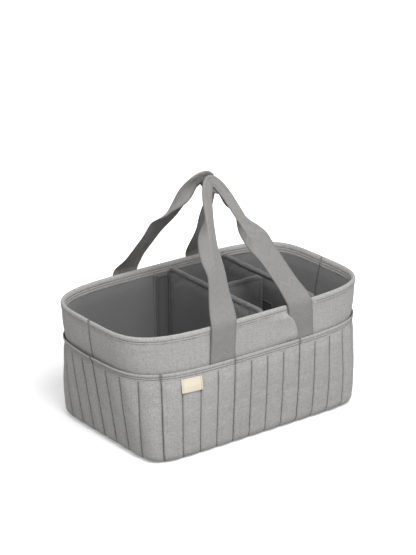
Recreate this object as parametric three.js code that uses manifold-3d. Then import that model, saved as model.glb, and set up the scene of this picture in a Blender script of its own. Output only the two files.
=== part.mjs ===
// A soft nursery caddy: padded fabric walls, channel-quilted pockets all round the outside,
// two webbing handles and three padded dividers that hold to the lining with hook tabs.
// Millimetres, +Z up, +X along the caddy, resting on Z = 0 with its middle at the origin.
import * as THREE from "three";
import { mergeVertices } from "three/addons/utils/BufferGeometryUtils.js";
import Module from "manifold-3d";

const wasm = await Module();
wasm.setup();

// Body: a soft box whose plan is a superellipse, squarer at the base than at the rim
const BASE_LENGTH = 380;
const BASE_WIDTH = 246;
const HEIGHT = 197;
const END_FLARE = 32; // how far each end leans out from the base to the rim
const SIDE_BULGE = 6; // how far each side swells out over its base seam
const BULGE_HEIGHT = 135; // where the sides have swelled out fully
const BASE_SQUARENESS = 11;
const RIM_SQUARENESS = 4.25;
const EDGE_ROUND_HEIGHT = 14; // rounding of the bottom edge
const EDGE_ROUND_INSET = 8;

// Layers, with the clearance between any two pieces
const GAP = 0.3;
const COVER = 1.2;
const PADDING = 5;
const LINING = 1.2;
const BASE_COVER = 1.2;
const BASE_BOARD = 3;
const BASE_LINING = 1.2;
const BINDING = 1.4; // rim binding
const BINDING_DEPTH = 14;
const RIM_ROUND = 5; // height of the binding's rolled top

// Quilted pockets
const HEM_HEIGHT = 140;
const HEM_DEPTH = 12;
const HEM = 2.4;
const POCKET_SEAM = 1.4; // thickness along a stitched line
const PUFF = 4.2; // how far a channel's crown stands over its seams
const CHANNELS_PER_BAY = 4;
const STEPS_PER_CHANNEL = 4;
const CORNER_BAY_WIDTH = 127; // from an end seam to the corner ahead of it
const SIDE_BAY_WIDTH = 122; // each of the three bays along a side
const LABEL_WIDTH = 32;
const LABEL_HEIGHT = 22;
const LABEL = 0.8;

// Handles: one loop of webbing each, its two sides folded under at the grip
const WEBBING_WIDTH = 45;
const WEBBING = 1.8;
const HANDLE_X = 75; // from the middle to a leg's centre line
const FRONT_GRIP_RISE = 167; // from the rim to the top of the grip's centre line
const REAR_GRIP_RISE = 173;
const GRIP_SPREAD = 13; // between the two grips at the top
const GRIP_SETBACK = 5; // how far the pair of grips leans to the rear
const HANDLE_ARCH = 0.74; // share of the sloping leg that is straight
const GRIP_SHARE = 0.4; // folded width as a share of the webbing's
const GRIP_LAYERS = 3;
const GRIP_FOLD_START = 0.46; // share of the way from a foot to the top of the grip
const GRIP_FOLD_END = 0.74;
const STANDOFF = 1.2; // slack between webbing and rim binding
const BEND_ABOVE_RIM = 2;
const ANCHOR_LENGTH = 70; // webbing sewn down below the hem
const FOLD_ABOVE_HEM = 8; // where a dropped handle bends over
const HANDLE_STEPS = 64;

// Dividers
const DIVIDER_BELOW_RIM = 3;
const DIVIDER_CORNER = 12;
const CENTRE_DIVIDER_X = 10;
const END_DIVIDER_X = 110;
const LENGTHWISE_DIVIDER_Y = 3;
const TAB = 1.6;
const TAB_WIDTH = 20;
const TAB_MARGIN = 14; // from a divider's top and bottom edge to its tabs
const LENGTHWISE_TAB_DROP = 42; // from the lengthwise divider's top edge to its tabs
const LOOP = 1.4; // loop strip on the lining or on a divider
const LOOP_MARGIN = 4; // loop strip shown round a tab's lower end and sides

// Colours
const CANVAS = { color: 0xa9a8a5, roughness: 0.95, metalness: 0 };
const QUILT = { color: 0xa5a4a1, roughness: 0.95, metalness: 0 };
const INSIDE = { color: 0x8b8987, roughness: 0.95, metalness: 0 };
const WEAVE = { color: 0x9d9b98, roughness: 0.85, metalness: 0 };
const FOAM = { color: 0xe6e4de, roughness: 1, metalness: 0 };
const BOARD = { color: 0x55555a, roughness: 0.6, metalness: 0 };
const COTTON = { color: 0xf3ead9, roughness: 0.9, metalness: 0 };
const HOOK = { color: 0x58575a, roughness: 0.8, metalness: 0 };

// Worked out from the values above
const WALL = COVER + GAP + PADDING + GAP + LINING;
const WALL_BOTTOM = BASE_COVER + GAP;
const WALL_TOP = HEIGHT - RIM_ROUND - GAP;
const FLOOR_TOP = WALL_BOTTOM + BASE_BOARD + GAP + BASE_LINING;
const POCKET_GAP = GAP + WEBBING + GAP; // the webbing ends lie behind the pockets
const POCKET_TOP = HEM_HEIGHT - HEM_DEPTH - GAP;
const FOLD_HEIGHT = HEM_HEIGHT + FOLD_ABOVE_HEM;
const DIVIDER = PADDING + 2 * (COVER + GAP);
const DIVIDER_BOTTOM = FLOOR_TOP + GAP;
const DIVIDER_TOP = HEIGHT - DIVIDER_BELOW_RIM;
const TAB_INSET = WALL + GAP + Math.max(LOOP, BINDING) + GAP;
const { clamp, lerp, smoothstep } = THREE.MathUtils;

// Half length, half width and squareness of the cover's outside at one height
function sectionAt(z) {
  const rise = Math.sin((clamp(z / BULGE_HEIGHT, 0, 1) * Math.PI) / 2);
  const low = clamp(1 - z / EDGE_ROUND_HEIGHT, 0, 1);
  const inset = EDGE_ROUND_INSET * (1 - Math.sqrt(1 - low * low));
  return {
    a: BASE_LENGTH / 2 + END_FLARE * clamp(z / HEIGHT, 0, 1) - inset,
    b: BASE_WIDTH / 2 + SIDE_BULGE * rise - inset,
    n: lerp(BASE_SQUARENESS, RIM_SQUARENESS, rise),
  };
}

// The outline at one height as fine points with the length walked up to each
const outlines = new Map();
function outlineAt(z) {
  if (outlines.has(z)) return outlines.get(z);
  const { a, b, n } = sectionAt(z);
  const count = 720;
  const points = [];
  const walked = [0];
  for (let i = 0; i <= count; i++) {
    const turn = Math.PI * (1 + (2 * i) / count);
    const c = Math.cos(turn);
    const s = Math.sin(turn);
    const x = a * Math.sign(c) * Math.abs(c) ** (2 / n);
    const y = b * Math.sign(s) * Math.abs(s) ** (2 / n);
    points.push(new THREE.Vector2(x, y));
    if (i > 0) walked.push(walked[i - 1] + points[i].distanceTo(points[i - 1]));
  }
  outlines.set(z, { points, walked, length: walked[count] });
  return outlines.get(z);
}

// A point on the wall: share 0 is the middle of the left end, 0.25 the middle of the front
function wallPoint(share, offset, z) {
  const { a, b, n } = sectionAt(z);
  const { points, walked, length } = outlineAt(z);
  const goal = (((share % 1) + 1) % 1) * length;
  let i = walked.findIndex((w) => w > goal);
  if (i < 1) i = points.length - 1;
  const part = (goal - walked[i - 1]) / (walked[i] - walked[i - 1]);
  const p = points[i - 1].clone().lerp(points[i], part);
  const normal = new THREE.Vector2(
    (Math.sign(p.x) * Math.abs(p.x / a) ** (n - 1)) / a,
    (Math.sign(p.y) * Math.abs(p.y / b) ** (n - 1)) / b,
  ).normalize();
  return new THREE.Vector3(p.x + normal.x * offset, p.y + normal.y * offset, z);
}

// How far the cover's outside lies from the middle plane at x, along either long side
function sideReach(x, z) {
  const { a, b, n } = sectionAt(z);
  return b * (1 - Math.abs(x / a) ** n) ** (1 / n);
}

// How far a piece may reach there and still be lifted straight out past the wall above it
function liftReach(x, z) {
  return Math.min(...levels(z, HEIGHT).map((above) => sideReach(x, above)));
}

// A closed solid through matching rings of points, its two end rings, given flattened too,
// filled in. Each quad is split along its rising diagonal, so that layers stay parallel.
function loft(rings, flatStart, flatEnd) {
  const count = flatStart.length;
  const index = [];
  for (let r = 0; r + 1 < rings.length; r++) {
    for (let i = 0; i < count; i++) {
      const j = (i + 1) % count;
      const [a, b, c, d] = [i, j, count + j, count + i].map((k) => r * count + k);
      if (rings[r][i].z < rings[r][j].z) index.push(a, b, c, a, c, d);
      else index.push(a, b, d, b, c, d);
    }
  }
  const last = (rings.length - 1) * count;
  for (const [first, flat] of [[0, flatStart], [last, flatEnd]]) {
    const backwards = THREE.ShapeUtils.area(flat) < 0 === first > 0;
    for (const [i, j, k] of THREE.ShapeUtils.triangulateShape(flat, [])) {
      index.push(first + i, first + (backwards ? k : j), first + (backwards ? j : k));
    }
  }
  const geometry = new THREE.BufferGeometry().setFromPoints(rings.flat());
  geometry.setIndex(volumeOf(rings.flat(), index) < 0 ? index.reverse() : index);
  geometry.computeVertexNormals();
  return geometry;
}

function volumeOf(points, index) {
  let volume = 0;
  const normal = new THREE.Vector3();
  for (let i = 0; i < index.length; i += 3) {
    const [p, q, r] = [points[index[i]], points[index[i + 1]], points[index[i + 2]]];
    volume += p.dot(normal.crossVectors(q, r));
  }
  return volume;
}

// Sweeps a ring of [offset, height] pairs along the wall, through the given shares
function alongWall(shares, ringAt) {
  const rings = shares.map((s) => ringAt(s).map(([offset, z]) => wallPoint(s, offset, z)));
  const flatten = (ring, s) => {
    const out = wallPoint(s, 1, BULGE_HEIGHT).sub(wallPoint(s, 0, BULGE_HEIGHT));
    return ring.map((p) => new THREE.Vector2(p.dot(out), p.z));
  };
  return loft(rings, flatten(rings[0], shares[0]), flatten(rings.at(-1), shares.at(-1)));
}

// Sweeps a ring of [offset, height] pairs along the front, from x0 to x1, in a few steps
function alongFront(x0, x1, ring, reach = sideReach) {
  const steps = 4;
  const rings = [];
  for (let i = 0; i <= steps; i++) {
    const x = lerp(x0, x1, i / steps);
    rings.push(ring.map(([o, z]) => new THREE.Vector3(x, -reach(x, z) - o, z)));
  }
  const flatten = (points) => points.map((p) => new THREE.Vector2(-p.y, p.z));
  return loft(rings, flatten(rings[0]), flatten(rings.at(-1)));
}

// Heights at which the walls bend, kept between two ends
function levels(bottom, top) {
  const bends = [0.36 * EDGE_ROUND_HEIGHT, EDGE_ROUND_HEIGHT];
  bends.push(0.38 * BULGE_HEIGHT, 0.7 * BULGE_HEIGHT, BULGE_HEIGHT);
  return [bottom, ...bends.filter((z) => z > bottom + 1 && z < top - 1), top];
}

// The ring of one flat layer: up its outside and down its inside
function layer(outer, inner, bottom, top) {
  const rise = levels(bottom, top);
  return [...rise.map((z) => [outer, z]), ...rise.reverse().map((z) => [inner, z])];
}

// Shares of the outline where wall pieces bend, close together round the corners
const QUARTER = [0, 0.03, 0.055, 0.07, 0.085, 0.1, 0.115];
QUARTER.push(0.13, 0.14, 0.155, 0.17, 0.19, 0.22);
const HALF = [...QUARTER, 0.25, ...QUARTER.map((s) => 0.5 - s).reverse()];

// Those shares between two ends, which keep half a gap from their neighbours
function sharesBetween(start, end) {
  const edge = GAP / 2 / outlineAt(BULGE_HEIGHT).length;
  const inner = [...HALF.map((s) => s - 0.5), ...HALF.slice(1)];
  const kept = inner.filter((s) => s > start + 0.002 && s < end - 0.002);
  return [start + edge, ...kept, end - edge];
}

function solidOf(geometry) {
  const plain = new THREE.BufferGeometry();
  plain.setAttribute("position", geometry.getAttribute("position"));
  if (geometry.index) plain.setIndex(geometry.index);
  const merged = mergeVertices(plain, 1e-4);
  const vertProperties = new Float32Array(merged.getAttribute("position").array);
  const triVerts = new Uint32Array(merged.index.array);
  return new wasm.Manifold(new wasm.Mesh({ numProp: 3, vertProperties, triVerts }));
}

function cutAway(geometry, tool) {
  const mesh = solidOf(geometry).subtract(solidOf(tool)).getMesh();
  const points = new THREE.BufferAttribute(new Float32Array(mesh.vertProperties), 3);
  const cut = new THREE.BufferGeometry().setAttribute("position", points);
  cut.setIndex(new THREE.BufferAttribute(new Uint32Array(mesh.triVerts), 1));
  cut.computeVertexNormals();
  return cut;
}

const caddy = new THREE.Group();
caddy.name = "nursery_caddy";

function add(name, geometry, look) {
  const mesh = new THREE.Mesh(geometry, new THREE.MeshStandardMaterial(look));
  mesh.name = name;
  caddy.add(mesh);
  return mesh;
}

// The plan is the same turned half round, so most pieces come in opposite pairs
function addPair(name, oppositeName, geometry, look) {
  add(name, geometry, look);
  add(oppositeName, geometry.clone(), look).rotation.z = Math.PI;
}

// Base: underside, stiff board and floor lining, each a plate of the wall's plan
function plate(offset, bottom, thickness) {
  const ring = sharesBetween(0, 0.5);
  const outline = [...ring, ...ring.map((s) => s + 0.5)].map((s) => wallPoint(s, offset, WALL_BOTTOM));
  const shape = new THREE.Shape(outline.map((p) => new THREE.Vector2(p.x, p.y)));
  const geometry = new THREE.ExtrudeGeometry(shape, { depth: thickness, bevelEnabled: false });
  return geometry.translate(0, 0, bottom);
}

function addBase() {
  add("base_cover", plate(POCKET_GAP + POCKET_SEAM, 0, BASE_COVER), CANVAS);
  add("base_board", plate(-WALL - GAP, WALL_BOTTOM, BASE_BOARD), BOARD);
  add("base_lining", plate(-WALL - GAP, FLOOR_TOP - BASE_LINING, BASE_LINING), INSIDE);
}

// Walls: cover, padding and lining, under a rolled binding
function bindingRing() {
  const outer = GAP + BINDING;
  const inner = -WALL - GAP - BINDING;
  const skirt = HEIGHT - BINDING_DEPTH;
  const shoulder = HEIGHT - RIM_ROUND;
  const ring = [];
  for (let i = 0; i <= 6; i++) {
    const turn = (Math.PI * i) / 6;
    const across = (outer + inner) / 2 + ((outer - inner) / 2) * Math.cos(turn);
    ring.push([across, shoulder + RIM_ROUND * Math.sin(turn)]);
  }
  ring.push([inner, skirt], [-WALL - GAP, skirt], [-WALL - GAP, shoulder]);
  ring.push([GAP, shoulder], [GAP, skirt], [outer, skirt]);
  return ring;
}

function addWalls() {
  const half = sharesBetween(0, 0.5);
  const coverRing = layer(0, -COVER, WALL_BOTTOM, WALL_TOP);
  addPair("front_cover", "rear_cover", alongWall(half, () => coverRing), CANVAS);

  const foamFace = -COVER - GAP;
  const foamRing = layer(foamFace, foamFace - PADDING, WALL_BOTTOM, WALL_TOP);
  const corner = 0.13;
  const front = alongWall(sharesBetween(corner, 0.5 - corner), () => foamRing);
  const left = alongWall(sharesBetween(-corner, corner), () => foamRing);
  addPair("front_padding", "rear_padding", front, FOAM);
  addPair("left_padding", "right_padding", left, FOAM);

  const liningRing = layer(LINING - WALL, -WALL, WALL_BOTTOM, WALL_TOP);
  addPair("front_lining", "rear_lining", alongWall(half, () => liningRing), INSIDE);
  addPair("front_rim_binding", "rear_rim_binding", alongWall(half, bindingRing), CANVAS);
}

// Pockets: five bays on each half, quilted in channels that swell between their seams
const CORNER_BAY = CORNER_BAY_WIDTH / outlineAt(HEM_HEIGHT).length;
const SIDE_BAY = SIDE_BAY_WIDTH / outlineAt(HEM_HEIGHT).length;
const LAST_BAY = 0.5 - CORNER_BAY - 3 * SIDE_BAY;

// How far the quilting swells at one height: closed at the base seam and drawn in at the hem
function swellAt(z) {
  const foot = clamp((z - WALL_BOTTOM) / EDGE_ROUND_HEIGHT, 0, 1);
  const head = smoothstep(POCKET_TOP - z, 0, EDGE_ROUND_HEIGHT);
  return Math.sqrt(foot * (2 - foot)) * lerp(0.3, 1, head);
}

function pocketFace(channelPart, z) {
  const crown = Math.sin(Math.PI * channelPart) ** 0.8;
  return POCKET_GAP + POCKET_SEAM + PUFF * crown * swellAt(z);
}

function pocketBay(start, width) {
  const edge = GAP / 2 / outlineAt(HEM_HEIGHT).length;
  const steps = CHANNELS_PER_BAY * STEPS_PER_CHANNEL;
  const shares = [];
  for (let i = 0; i <= steps; i++) shares.push(start + lerp(edge, width - edge, i / steps));
  const rise = levels(WALL_BOTTOM, POCKET_TOP);
  return alongWall(shares, (share) => {
    const step = Math.round(((share - start) / width) * steps);
    const part = (step % STEPS_PER_CHANNEL) / STEPS_PER_CHANNEL;
    const outside = rise.map((z) => [pocketFace(part, z), z]);
    const inside = rise.map((z) => [POCKET_GAP, z]);
    return [...outside, ...inside.reverse()];
  });
}

function hemRing() {
  const outer = POCKET_GAP + HEM;
  const bottom = HEM_HEIGHT - HEM_DEPTH;
  const ring = [[outer, bottom], [outer, HEM_HEIGHT - HEM / 2]];
  ring.push([outer - HEM / 4, HEM_HEIGHT], [POCKET_GAP + HEM / 4, HEM_HEIGHT]);
  ring.push([POCKET_GAP, HEM_HEIGHT - HEM / 2], [POCKET_GAP, bottom]);
  return ring;
}

function addPockets() {
  const bays = [
    ["left_front_pocket", "right_rear_pocket", CORNER_BAY],
    ["front_left_pocket", "rear_right_pocket", SIDE_BAY],
    ["front_middle_pocket", "rear_middle_pocket", SIDE_BAY],
    ["front_right_pocket", "rear_left_pocket", SIDE_BAY],
    ["right_front_pocket", "left_rear_pocket", LAST_BAY],
  ];
  let start = 0;
  for (const [name, oppositeName, width] of bays) {
    addPair(name, oppositeName, pocketBay(start, width), QUILT);
    start += width;
  }
  const hem = alongWall(sharesBetween(0, 0.5), hemRing);
  addPair("front_pocket_hem", "rear_pocket_hem", hem, CANVAS);
}

// A small blank label laid over the second channel of the front left bay, just under the hem
function addLabel() {
  const channel = SIDE_BAY / CHANNELS_PER_BAY;
  const first = CORNER_BAY + channel;
  const reach = LABEL_WIDTH / 2 / outlineAt(HEM_HEIGHT).length;
  const top = POCKET_TOP - GAP;
  const rise = [top - LABEL_HEIGHT, top - LABEL_HEIGHT / 2, top];
  const shares = [];
  for (let i = 0; i <= 8; i++) shares.push(first + channel / 2 + lerp(-reach, reach, i / 8));
  const geometry = alongWall(shares, (share) => {
    const part = clamp((share - first) / channel, 0, 1);
    const under = (z) => pocketFace(part, z) + 2 * GAP;
    const outside = rise.map((z) => [under(z) + LABEL, z]);
    const inside = rise.map((z) => [under(z), z]);
    return [...outside, ...inside.reverse()];
  });
  add("side_label", geometry, COTTON);
}

// Handles
const ANCHOR_FACE = GAP + WEBBING; // outer face of the webbing against the wall

function addAnchors() {
  const top = FOLD_HEIGHT - GAP;
  const ring = layer(ANCHOR_FACE, GAP, HEM_HEIGHT - ANCHOR_LENGTH, top);
  const reach = WEBBING_WIDTH / 2;
  const left = alongFront(-HANDLE_X - reach, -HANDLE_X + reach, ring);
  const right = alongFront(HANDLE_X - reach, HANDLE_X + reach, ring);
  addPair("front_left_webbing_end", "rear_right_webbing_end", left, WEAVE);
  addPair("front_right_webbing_end", "rear_left_webbing_end", right, WEAVE);
}

// The front handle's centre line: up the wall, over the rim, along a slope and round the grip
function handleParts(gripY, rise) {
  const wallSide = (z) => -sideReach(HANDLE_X - WEBBING_WIDTH / 2, z);
  const foot = new THREE.Vector3(HANDLE_X, wallSide(FOLD_HEIGHT) - GAP - WEBBING / 2, FOLD_HEIGHT + GAP);
  const rimOffset = GAP + BINDING + STANDOFF + WEBBING / 2;
  const bend = new THREE.Vector3(HANDLE_X, wallSide(HEIGHT) - rimOffset, HEIGHT + BEND_ABOVE_RIM);
  const top = new THREE.Vector3(0, gripY, HEIGHT + rise);
  const reach = 2 / (1 + HANDLE_ARCH);
  const peak = new THREE.Vector3(0, 0, 0).lerpVectors(bend, top, reach).setX(0);
  const arch = bend.clone().lerp(peak, HANDLE_ARCH);
  const before = bend.clone().lerp(foot, 0.2);
  const after = bend.clone().lerp(arch, 0.1);
  const mirror = (p) => p.clone().setX(-p.x);
  const path = new THREE.CurvePath();
  path.add(new THREE.LineCurve3(mirror(foot), mirror(before)));
  path.add(new THREE.QuadraticBezierCurve3(mirror(before), mirror(bend), mirror(after)));
  path.add(new THREE.LineCurve3(mirror(after), mirror(arch)));
  path.add(new THREE.QuadraticBezierCurve3(mirror(arch), peak, arch));
  path.add(new THREE.LineCurve3(arch, after));
  path.add(new THREE.QuadraticBezierCurve3(after, bend, before));
  path.add(new THREE.LineCurve3(before, foot));
  const slope = peak.clone().setX(bend.x).sub(bend).normalize();
  const lean = new THREE.Vector3().crossVectors(slope, new THREE.Vector3(1, 0, 0)).normalize();
  return { path, lean: lean.y > 0 ? lean.negate() : lean, bendHeight: bend.z };
}

// Face of the webbing: along the wall below the rim, in the slope above it
function webbingFace(tangent, z, lean, bendHeight) {
  const wallFace = new THREE.Vector3(0, -1, 0);
  const face = wallFace.lerp(lean, smoothstep(z, bendHeight - 15, bendHeight + 15));
  face.addScaledVector(tangent, -face.dot(tangent));
  return face.normalize();
}

// A handle as it stands at the front; the rear one is turned half round
function addHandle(name, gripY, rise) {
  const { path, lean, bendHeight } = handleParts(gripY, rise);
  const gripThickness = GRIP_LAYERS * WEBBING + GAP;
  const corners = [[1, 1], [-1, 1], [-1, -1], [1, -1]];
  const rings = [];
  for (let i = 0; i <= HANDLE_STEPS; i++) {
    const u = i / HANDLE_STEPS;
    const centre = path.getPointAt(u);
    const tangent = path.getTangentAt(u).normalize();
    const along = 1 - Math.abs(2 * u - 1);
    const face = webbingFace(tangent, centre.z, lean, bendHeight);
    const across = new THREE.Vector3().crossVectors(tangent, face);
    const folded = smoothstep(along, GRIP_FOLD_START, GRIP_FOLD_END);
    const halfWidth = (WEBBING_WIDTH * lerp(1, GRIP_SHARE, folded)) / 2;
    const halfThickness = lerp(WEBBING, gripThickness, folded) / 2;
    rings.push(
      corners.map(([w, t]) =>
        centre.clone().addScaledVector(across, w * halfWidth).addScaledVector(face, t * halfThickness),
      ),
    );
  }
  const square = corners.map((pair) => new THREE.Vector2(...pair));
  return add(name, loft(rings, square, square), WEAVE);
}

// Dividers: a fabric sleeve open at the bottom, a foam core, and end tabs
function dividerShape(reachAt, bottom, top, corner) {
  const side = levels(bottom, top - corner);
  const shape = new THREE.Shape();
  shape.moveTo(-reachAt(bottom), bottom);
  for (const z of side) shape.lineTo(reachAt(z), z);
  const wide = reachAt(top - corner);
  shape.absarc(wide - corner, top - corner, corner, 0, Math.PI / 2);
  shape.absarc(corner - wide, top - corner, corner, Math.PI / 2, Math.PI);
  for (const z of side.reverse()) shape.lineTo(-reachAt(z), z);
  return shape;
}

// A panel standing across the X axis at the origin, from a shape drawn across it
function standingPanel(shape, thickness) {
  const geometry = new THREE.ExtrudeGeometry(shape, {
    depth: thickness,
    bevelEnabled: false,
    curveSegments: 5,
  });
  geometry.translate(0, 0, -thickness / 2);
  return geometry.rotateX(Math.PI / 2).rotateZ(Math.PI / 2);
}

function sleeveAndCore(reachAt) {
  const inset = (amount) => (z) => reachAt(z) - amount;
  const outer = dividerShape(reachAt, DIVIDER_BOTTOM, DIVIDER_TOP, DIVIDER_CORNER);
  const hollow = dividerShape(
    inset(COVER), DIVIDER_BOTTOM - 1, DIVIDER_TOP - COVER, DIVIDER_CORNER - COVER,
  );
  const fill = COVER + GAP;
  const core = dividerShape(inset(fill), DIVIDER_BOTTOM, DIVIDER_TOP - fill, DIVIDER_CORNER - fill);
  return {
    sleeve: cutAway(standingPanel(outer, DIVIDER), standingPanel(hollow, DIVIDER - 2 * COVER)),
    core: standingPanel(core, PADDING),
  };
}

// A cross divider; its tabs turn towards tabSide along the walls, over loop strips on the lining
function addCrossDivider(name, x, tabSide) {
  const outerFace = Math.abs(x) + DIVIDER / 2;
  const reachAt = (z) => liftReach(outerFace, z) - TAB_INSET - TAB - GAP;
  const { sleeve, core } = sleeveAndCore(reachAt);
  add(name + "_sleeve", sleeve.translate(x, 0, 0), INSIDE);
  add(name + "_core", core.translate(x, 0, 0), FOAM);

  const near = x - (tabSide * DIVIDER) / 2;
  const far = near + tabSide * (DIVIDER + TAB_WIDTH);
  const tabRing = layer(-TAB_INSET, -TAB_INSET - TAB, DIVIDER_BOTTOM + TAB_MARGIN, DIVIDER_TOP - TAB_MARGIN);
  const loopTop = HEIGHT - BINDING_DEPTH - 2 * GAP;
  const loopBottom = DIVIDER_BOTTOM + TAB_MARGIN - LOOP_MARGIN;
  const loopRing = layer(-WALL - 1.5 * GAP, -WALL - GAP - LOOP, loopBottom, loopTop);
  const wide = tabSide * LOOP_MARGIN;
  for (const side of ["front", "rear"]) {
    const ends = side === "front" ? [near, far] : [-near, -far];
    const rim = side === "front" ? [near - wide, far + wide] : [wide - near, -far - wide];
    const tab = add(`${name}_${side}_tab`, alongFront(...ends, tabRing, liftReach), HOOK);
    const loop = add(`${name}_${side}_loop_strip`, alongFront(...rim, loopRing), INSIDE);
    if (side === "rear") tab.rotation.z = loop.rotation.z = Math.PI;
  }
}

// The lengthwise divider runs between the two cross dividers and holds to their faces
function addLengthwiseDivider() {
  const name = "lengthwise_divider";
  const stack = DIVIDER / 2 + GAP + LOOP + GAP + TAB + GAP;
  const start = CENTRE_DIVIDER_X + stack;
  const end = END_DIVIDER_X - stack;
  const { sleeve, core } = sleeveAndCore(() => (end - start) / 2);
  for (const piece of [sleeve, core]) {
    piece.rotateZ(-Math.PI / 2).translate((start + end) / 2, LENGTHWISE_DIVIDER_Y, 0);
  }
  add(name + "_sleeve", sleeve, INSIDE);
  add(name + "_core", core, FOAM);

  const low = DIVIDER_BOTTOM + TAB_MARGIN;
  const high = DIVIDER_TOP - LENGTHWISE_TAB_DROP;
  const height = high - low;
  const middle = (high + low) / 2;
  const breadth = DIVIDER + TAB_WIDTH;
  const tabY = LENGTHWISE_DIVIDER_Y + DIVIDER / 2 - breadth / 2;
  for (const [side, face, out] of [["left", start, -1], ["right", end, 1]]) {
    const tab = new THREE.BoxGeometry(TAB, breadth, height);
    const tabX = face + out * (GAP + TAB / 2);
    add(`${name}_${side}_tab`, tab.translate(tabX, tabY, middle), HOOK);
    const strip = new THREE.BoxGeometry(LOOP, breadth + 2 * LOOP_MARGIN, height + 2 * LOOP_MARGIN);
    const stripX = tabX + out * (TAB / 2 + GAP + LOOP / 2);
    const owner = side === "left" ? "centre_divider" : "end_divider";
    add(`${owner}_face_loop_strip`, strip.translate(stripX, tabY, middle), INSIDE);
  }
}

addBase();
addWalls();
addPockets();
addLabel();
addAnchors();
addHandle("front_handle", GRIP_SETBACK - GRIP_SPREAD / 2, FRONT_GRIP_RISE);
addHandle("rear_handle", -GRIP_SETBACK - GRIP_SPREAD / 2, REAR_GRIP_RISE).rotation.z = Math.PI;
addCrossDivider("centre_divider", CENTRE_DIVIDER_X, -1);
addCrossDivider("end_divider", END_DIVIDER_X, 1);
addLengthwiseDivider();

export default caddy;
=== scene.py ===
# %% [markdown]
# # A soft nursery caddy, cut and sewn in Blender
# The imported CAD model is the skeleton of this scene. Every piece made below lies where a
# solid of that model lies and moves with the same body. Lengths are written in
# millimetres, as on a cutting table, and become metres when a mesh is made.

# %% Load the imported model
import math

import bpy
import numpy as np
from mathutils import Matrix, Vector, noise


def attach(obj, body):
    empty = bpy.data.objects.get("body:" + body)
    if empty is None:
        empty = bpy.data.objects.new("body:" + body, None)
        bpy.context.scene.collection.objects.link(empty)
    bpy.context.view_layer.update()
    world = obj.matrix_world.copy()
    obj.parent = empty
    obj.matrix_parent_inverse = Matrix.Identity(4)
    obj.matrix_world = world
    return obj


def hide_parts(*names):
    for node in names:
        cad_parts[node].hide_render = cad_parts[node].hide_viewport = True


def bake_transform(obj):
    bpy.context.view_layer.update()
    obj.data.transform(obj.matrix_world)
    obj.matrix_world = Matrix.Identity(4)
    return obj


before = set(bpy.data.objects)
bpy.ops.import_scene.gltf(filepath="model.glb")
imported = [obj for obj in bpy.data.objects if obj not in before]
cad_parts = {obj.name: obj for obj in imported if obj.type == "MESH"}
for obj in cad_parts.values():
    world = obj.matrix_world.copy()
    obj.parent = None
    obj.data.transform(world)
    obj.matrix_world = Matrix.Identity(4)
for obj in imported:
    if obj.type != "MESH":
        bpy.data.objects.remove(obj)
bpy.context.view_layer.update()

scene = bpy.context.scene

# %% [markdown]
# ## Camera
# The camera stands where the photograph was taken from: a little to the left of the front
# and above the rim, far away with a long lens, so that upright edges stay nearly parallel.
# It comes first, because everything after it is judged through it.

# %% Camera
PHOTO_HEIGHT = 555
AIM = Vector((0.0, 0.0, 0.150))
CAMERA_TURN, CAMERA_RISE, CAMERA_DISTANCE = -37.06, 22.0, 3.223


def aim_from(thing, turn, rise, distance):
    """Puts a camera or lamp round the front and up, in degrees, facing the caddy's middle."""
    turn, rise = math.radians(turn), math.radians(rise)
    direction = Vector((math.sin(turn) * math.cos(rise), -math.cos(turn) * math.cos(rise), math.sin(rise)))
    thing.location = AIM + direction * distance
    thing.rotation_mode = "QUATERNION"
    thing.rotation_quaternion = (-direction).to_track_quat("-Z", "Y")
    scene.collection.objects.link(thing)


camera_data = bpy.data.cameras.new("photo_camera")
camera_data.lens = 138.32
camera_data.sensor_width = 36.0
camera_data.shift_x = -2.04 / PHOTO_HEIGHT
camera_data.shift_y = 38.28 / PHOTO_HEIGHT
camera_data.clip_start, camera_data.clip_end = 0.05, 100.0
camera = bpy.data.objects.new("photo_camera", camera_data)
aim_from(camera, CAMERA_TURN, CAMERA_RISE, CAMERA_DISTANCE)
scene.camera = camera
print("camera at", [round(v, 3) for v in camera.location])

# %% [markdown]
# ## Node helpers
# Materials and Geometry Nodes are both trees of nodes. Small helpers keep the trees below
# readable: they fill or link a node's inputs, add a node, do a sum, mix two values, and
# start a group with named sockets or a material with its Principled shader.

# %% Node helpers
def fill_inputs(tree, node, inputs):
    for key, value in inputs.items():
        socket = node.inputs[key]
        if isinstance(value, bpy.types.NodeSocket):
            tree.links.new(value, socket)
        else:
            socket.default_value = value


def add_node(tree, kind, inputs=None, **settings):
    made = tree.nodes.new(kind)
    for key, value in settings.items():
        setattr(made, key, value)
    fill_inputs(tree, made, inputs or {})
    return made


def calc(tree, operation, *values):
    return add_node(tree, "ShaderNodeMath", dict(enumerate(values)), operation=operation).outputs[0]


def ridges(tree, place, angle=math.pi):
    """Rounded ridges along a line: half a turn of a sine for each."""
    return calc(tree, "ABSOLUTE", calc(tree, "SINE", calc(tree, "MULTIPLY", place, angle)))


def blend_values(tree, share, a, b):
    return add_node(tree, "ShaderNodeMix", {0: share, 2: a, 3: b}, data_type="FLOAT").outputs[0]


def new_group(name, kind, inputs, outputs):
    tree = bpy.data.node_groups.new(name, kind)
    for socket_name, socket_kind in inputs:
        tree.interface.new_socket(socket_name, in_out="INPUT", socket_type=socket_kind)
    for socket_name, socket_kind in outputs:
        tree.interface.new_socket(socket_name, in_out="OUTPUT", socket_type=socket_kind)
    return tree, tree.nodes.new("NodeGroupInput"), tree.nodes.new("NodeGroupOutput")


def new_material(name):
    material = bpy.data.materials.new(name)
    material.use_nodes = True
    tree = material.node_tree
    return material, tree, next(n for n in tree.nodes if n.type == "BSDF_PRINCIPLED")

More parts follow.
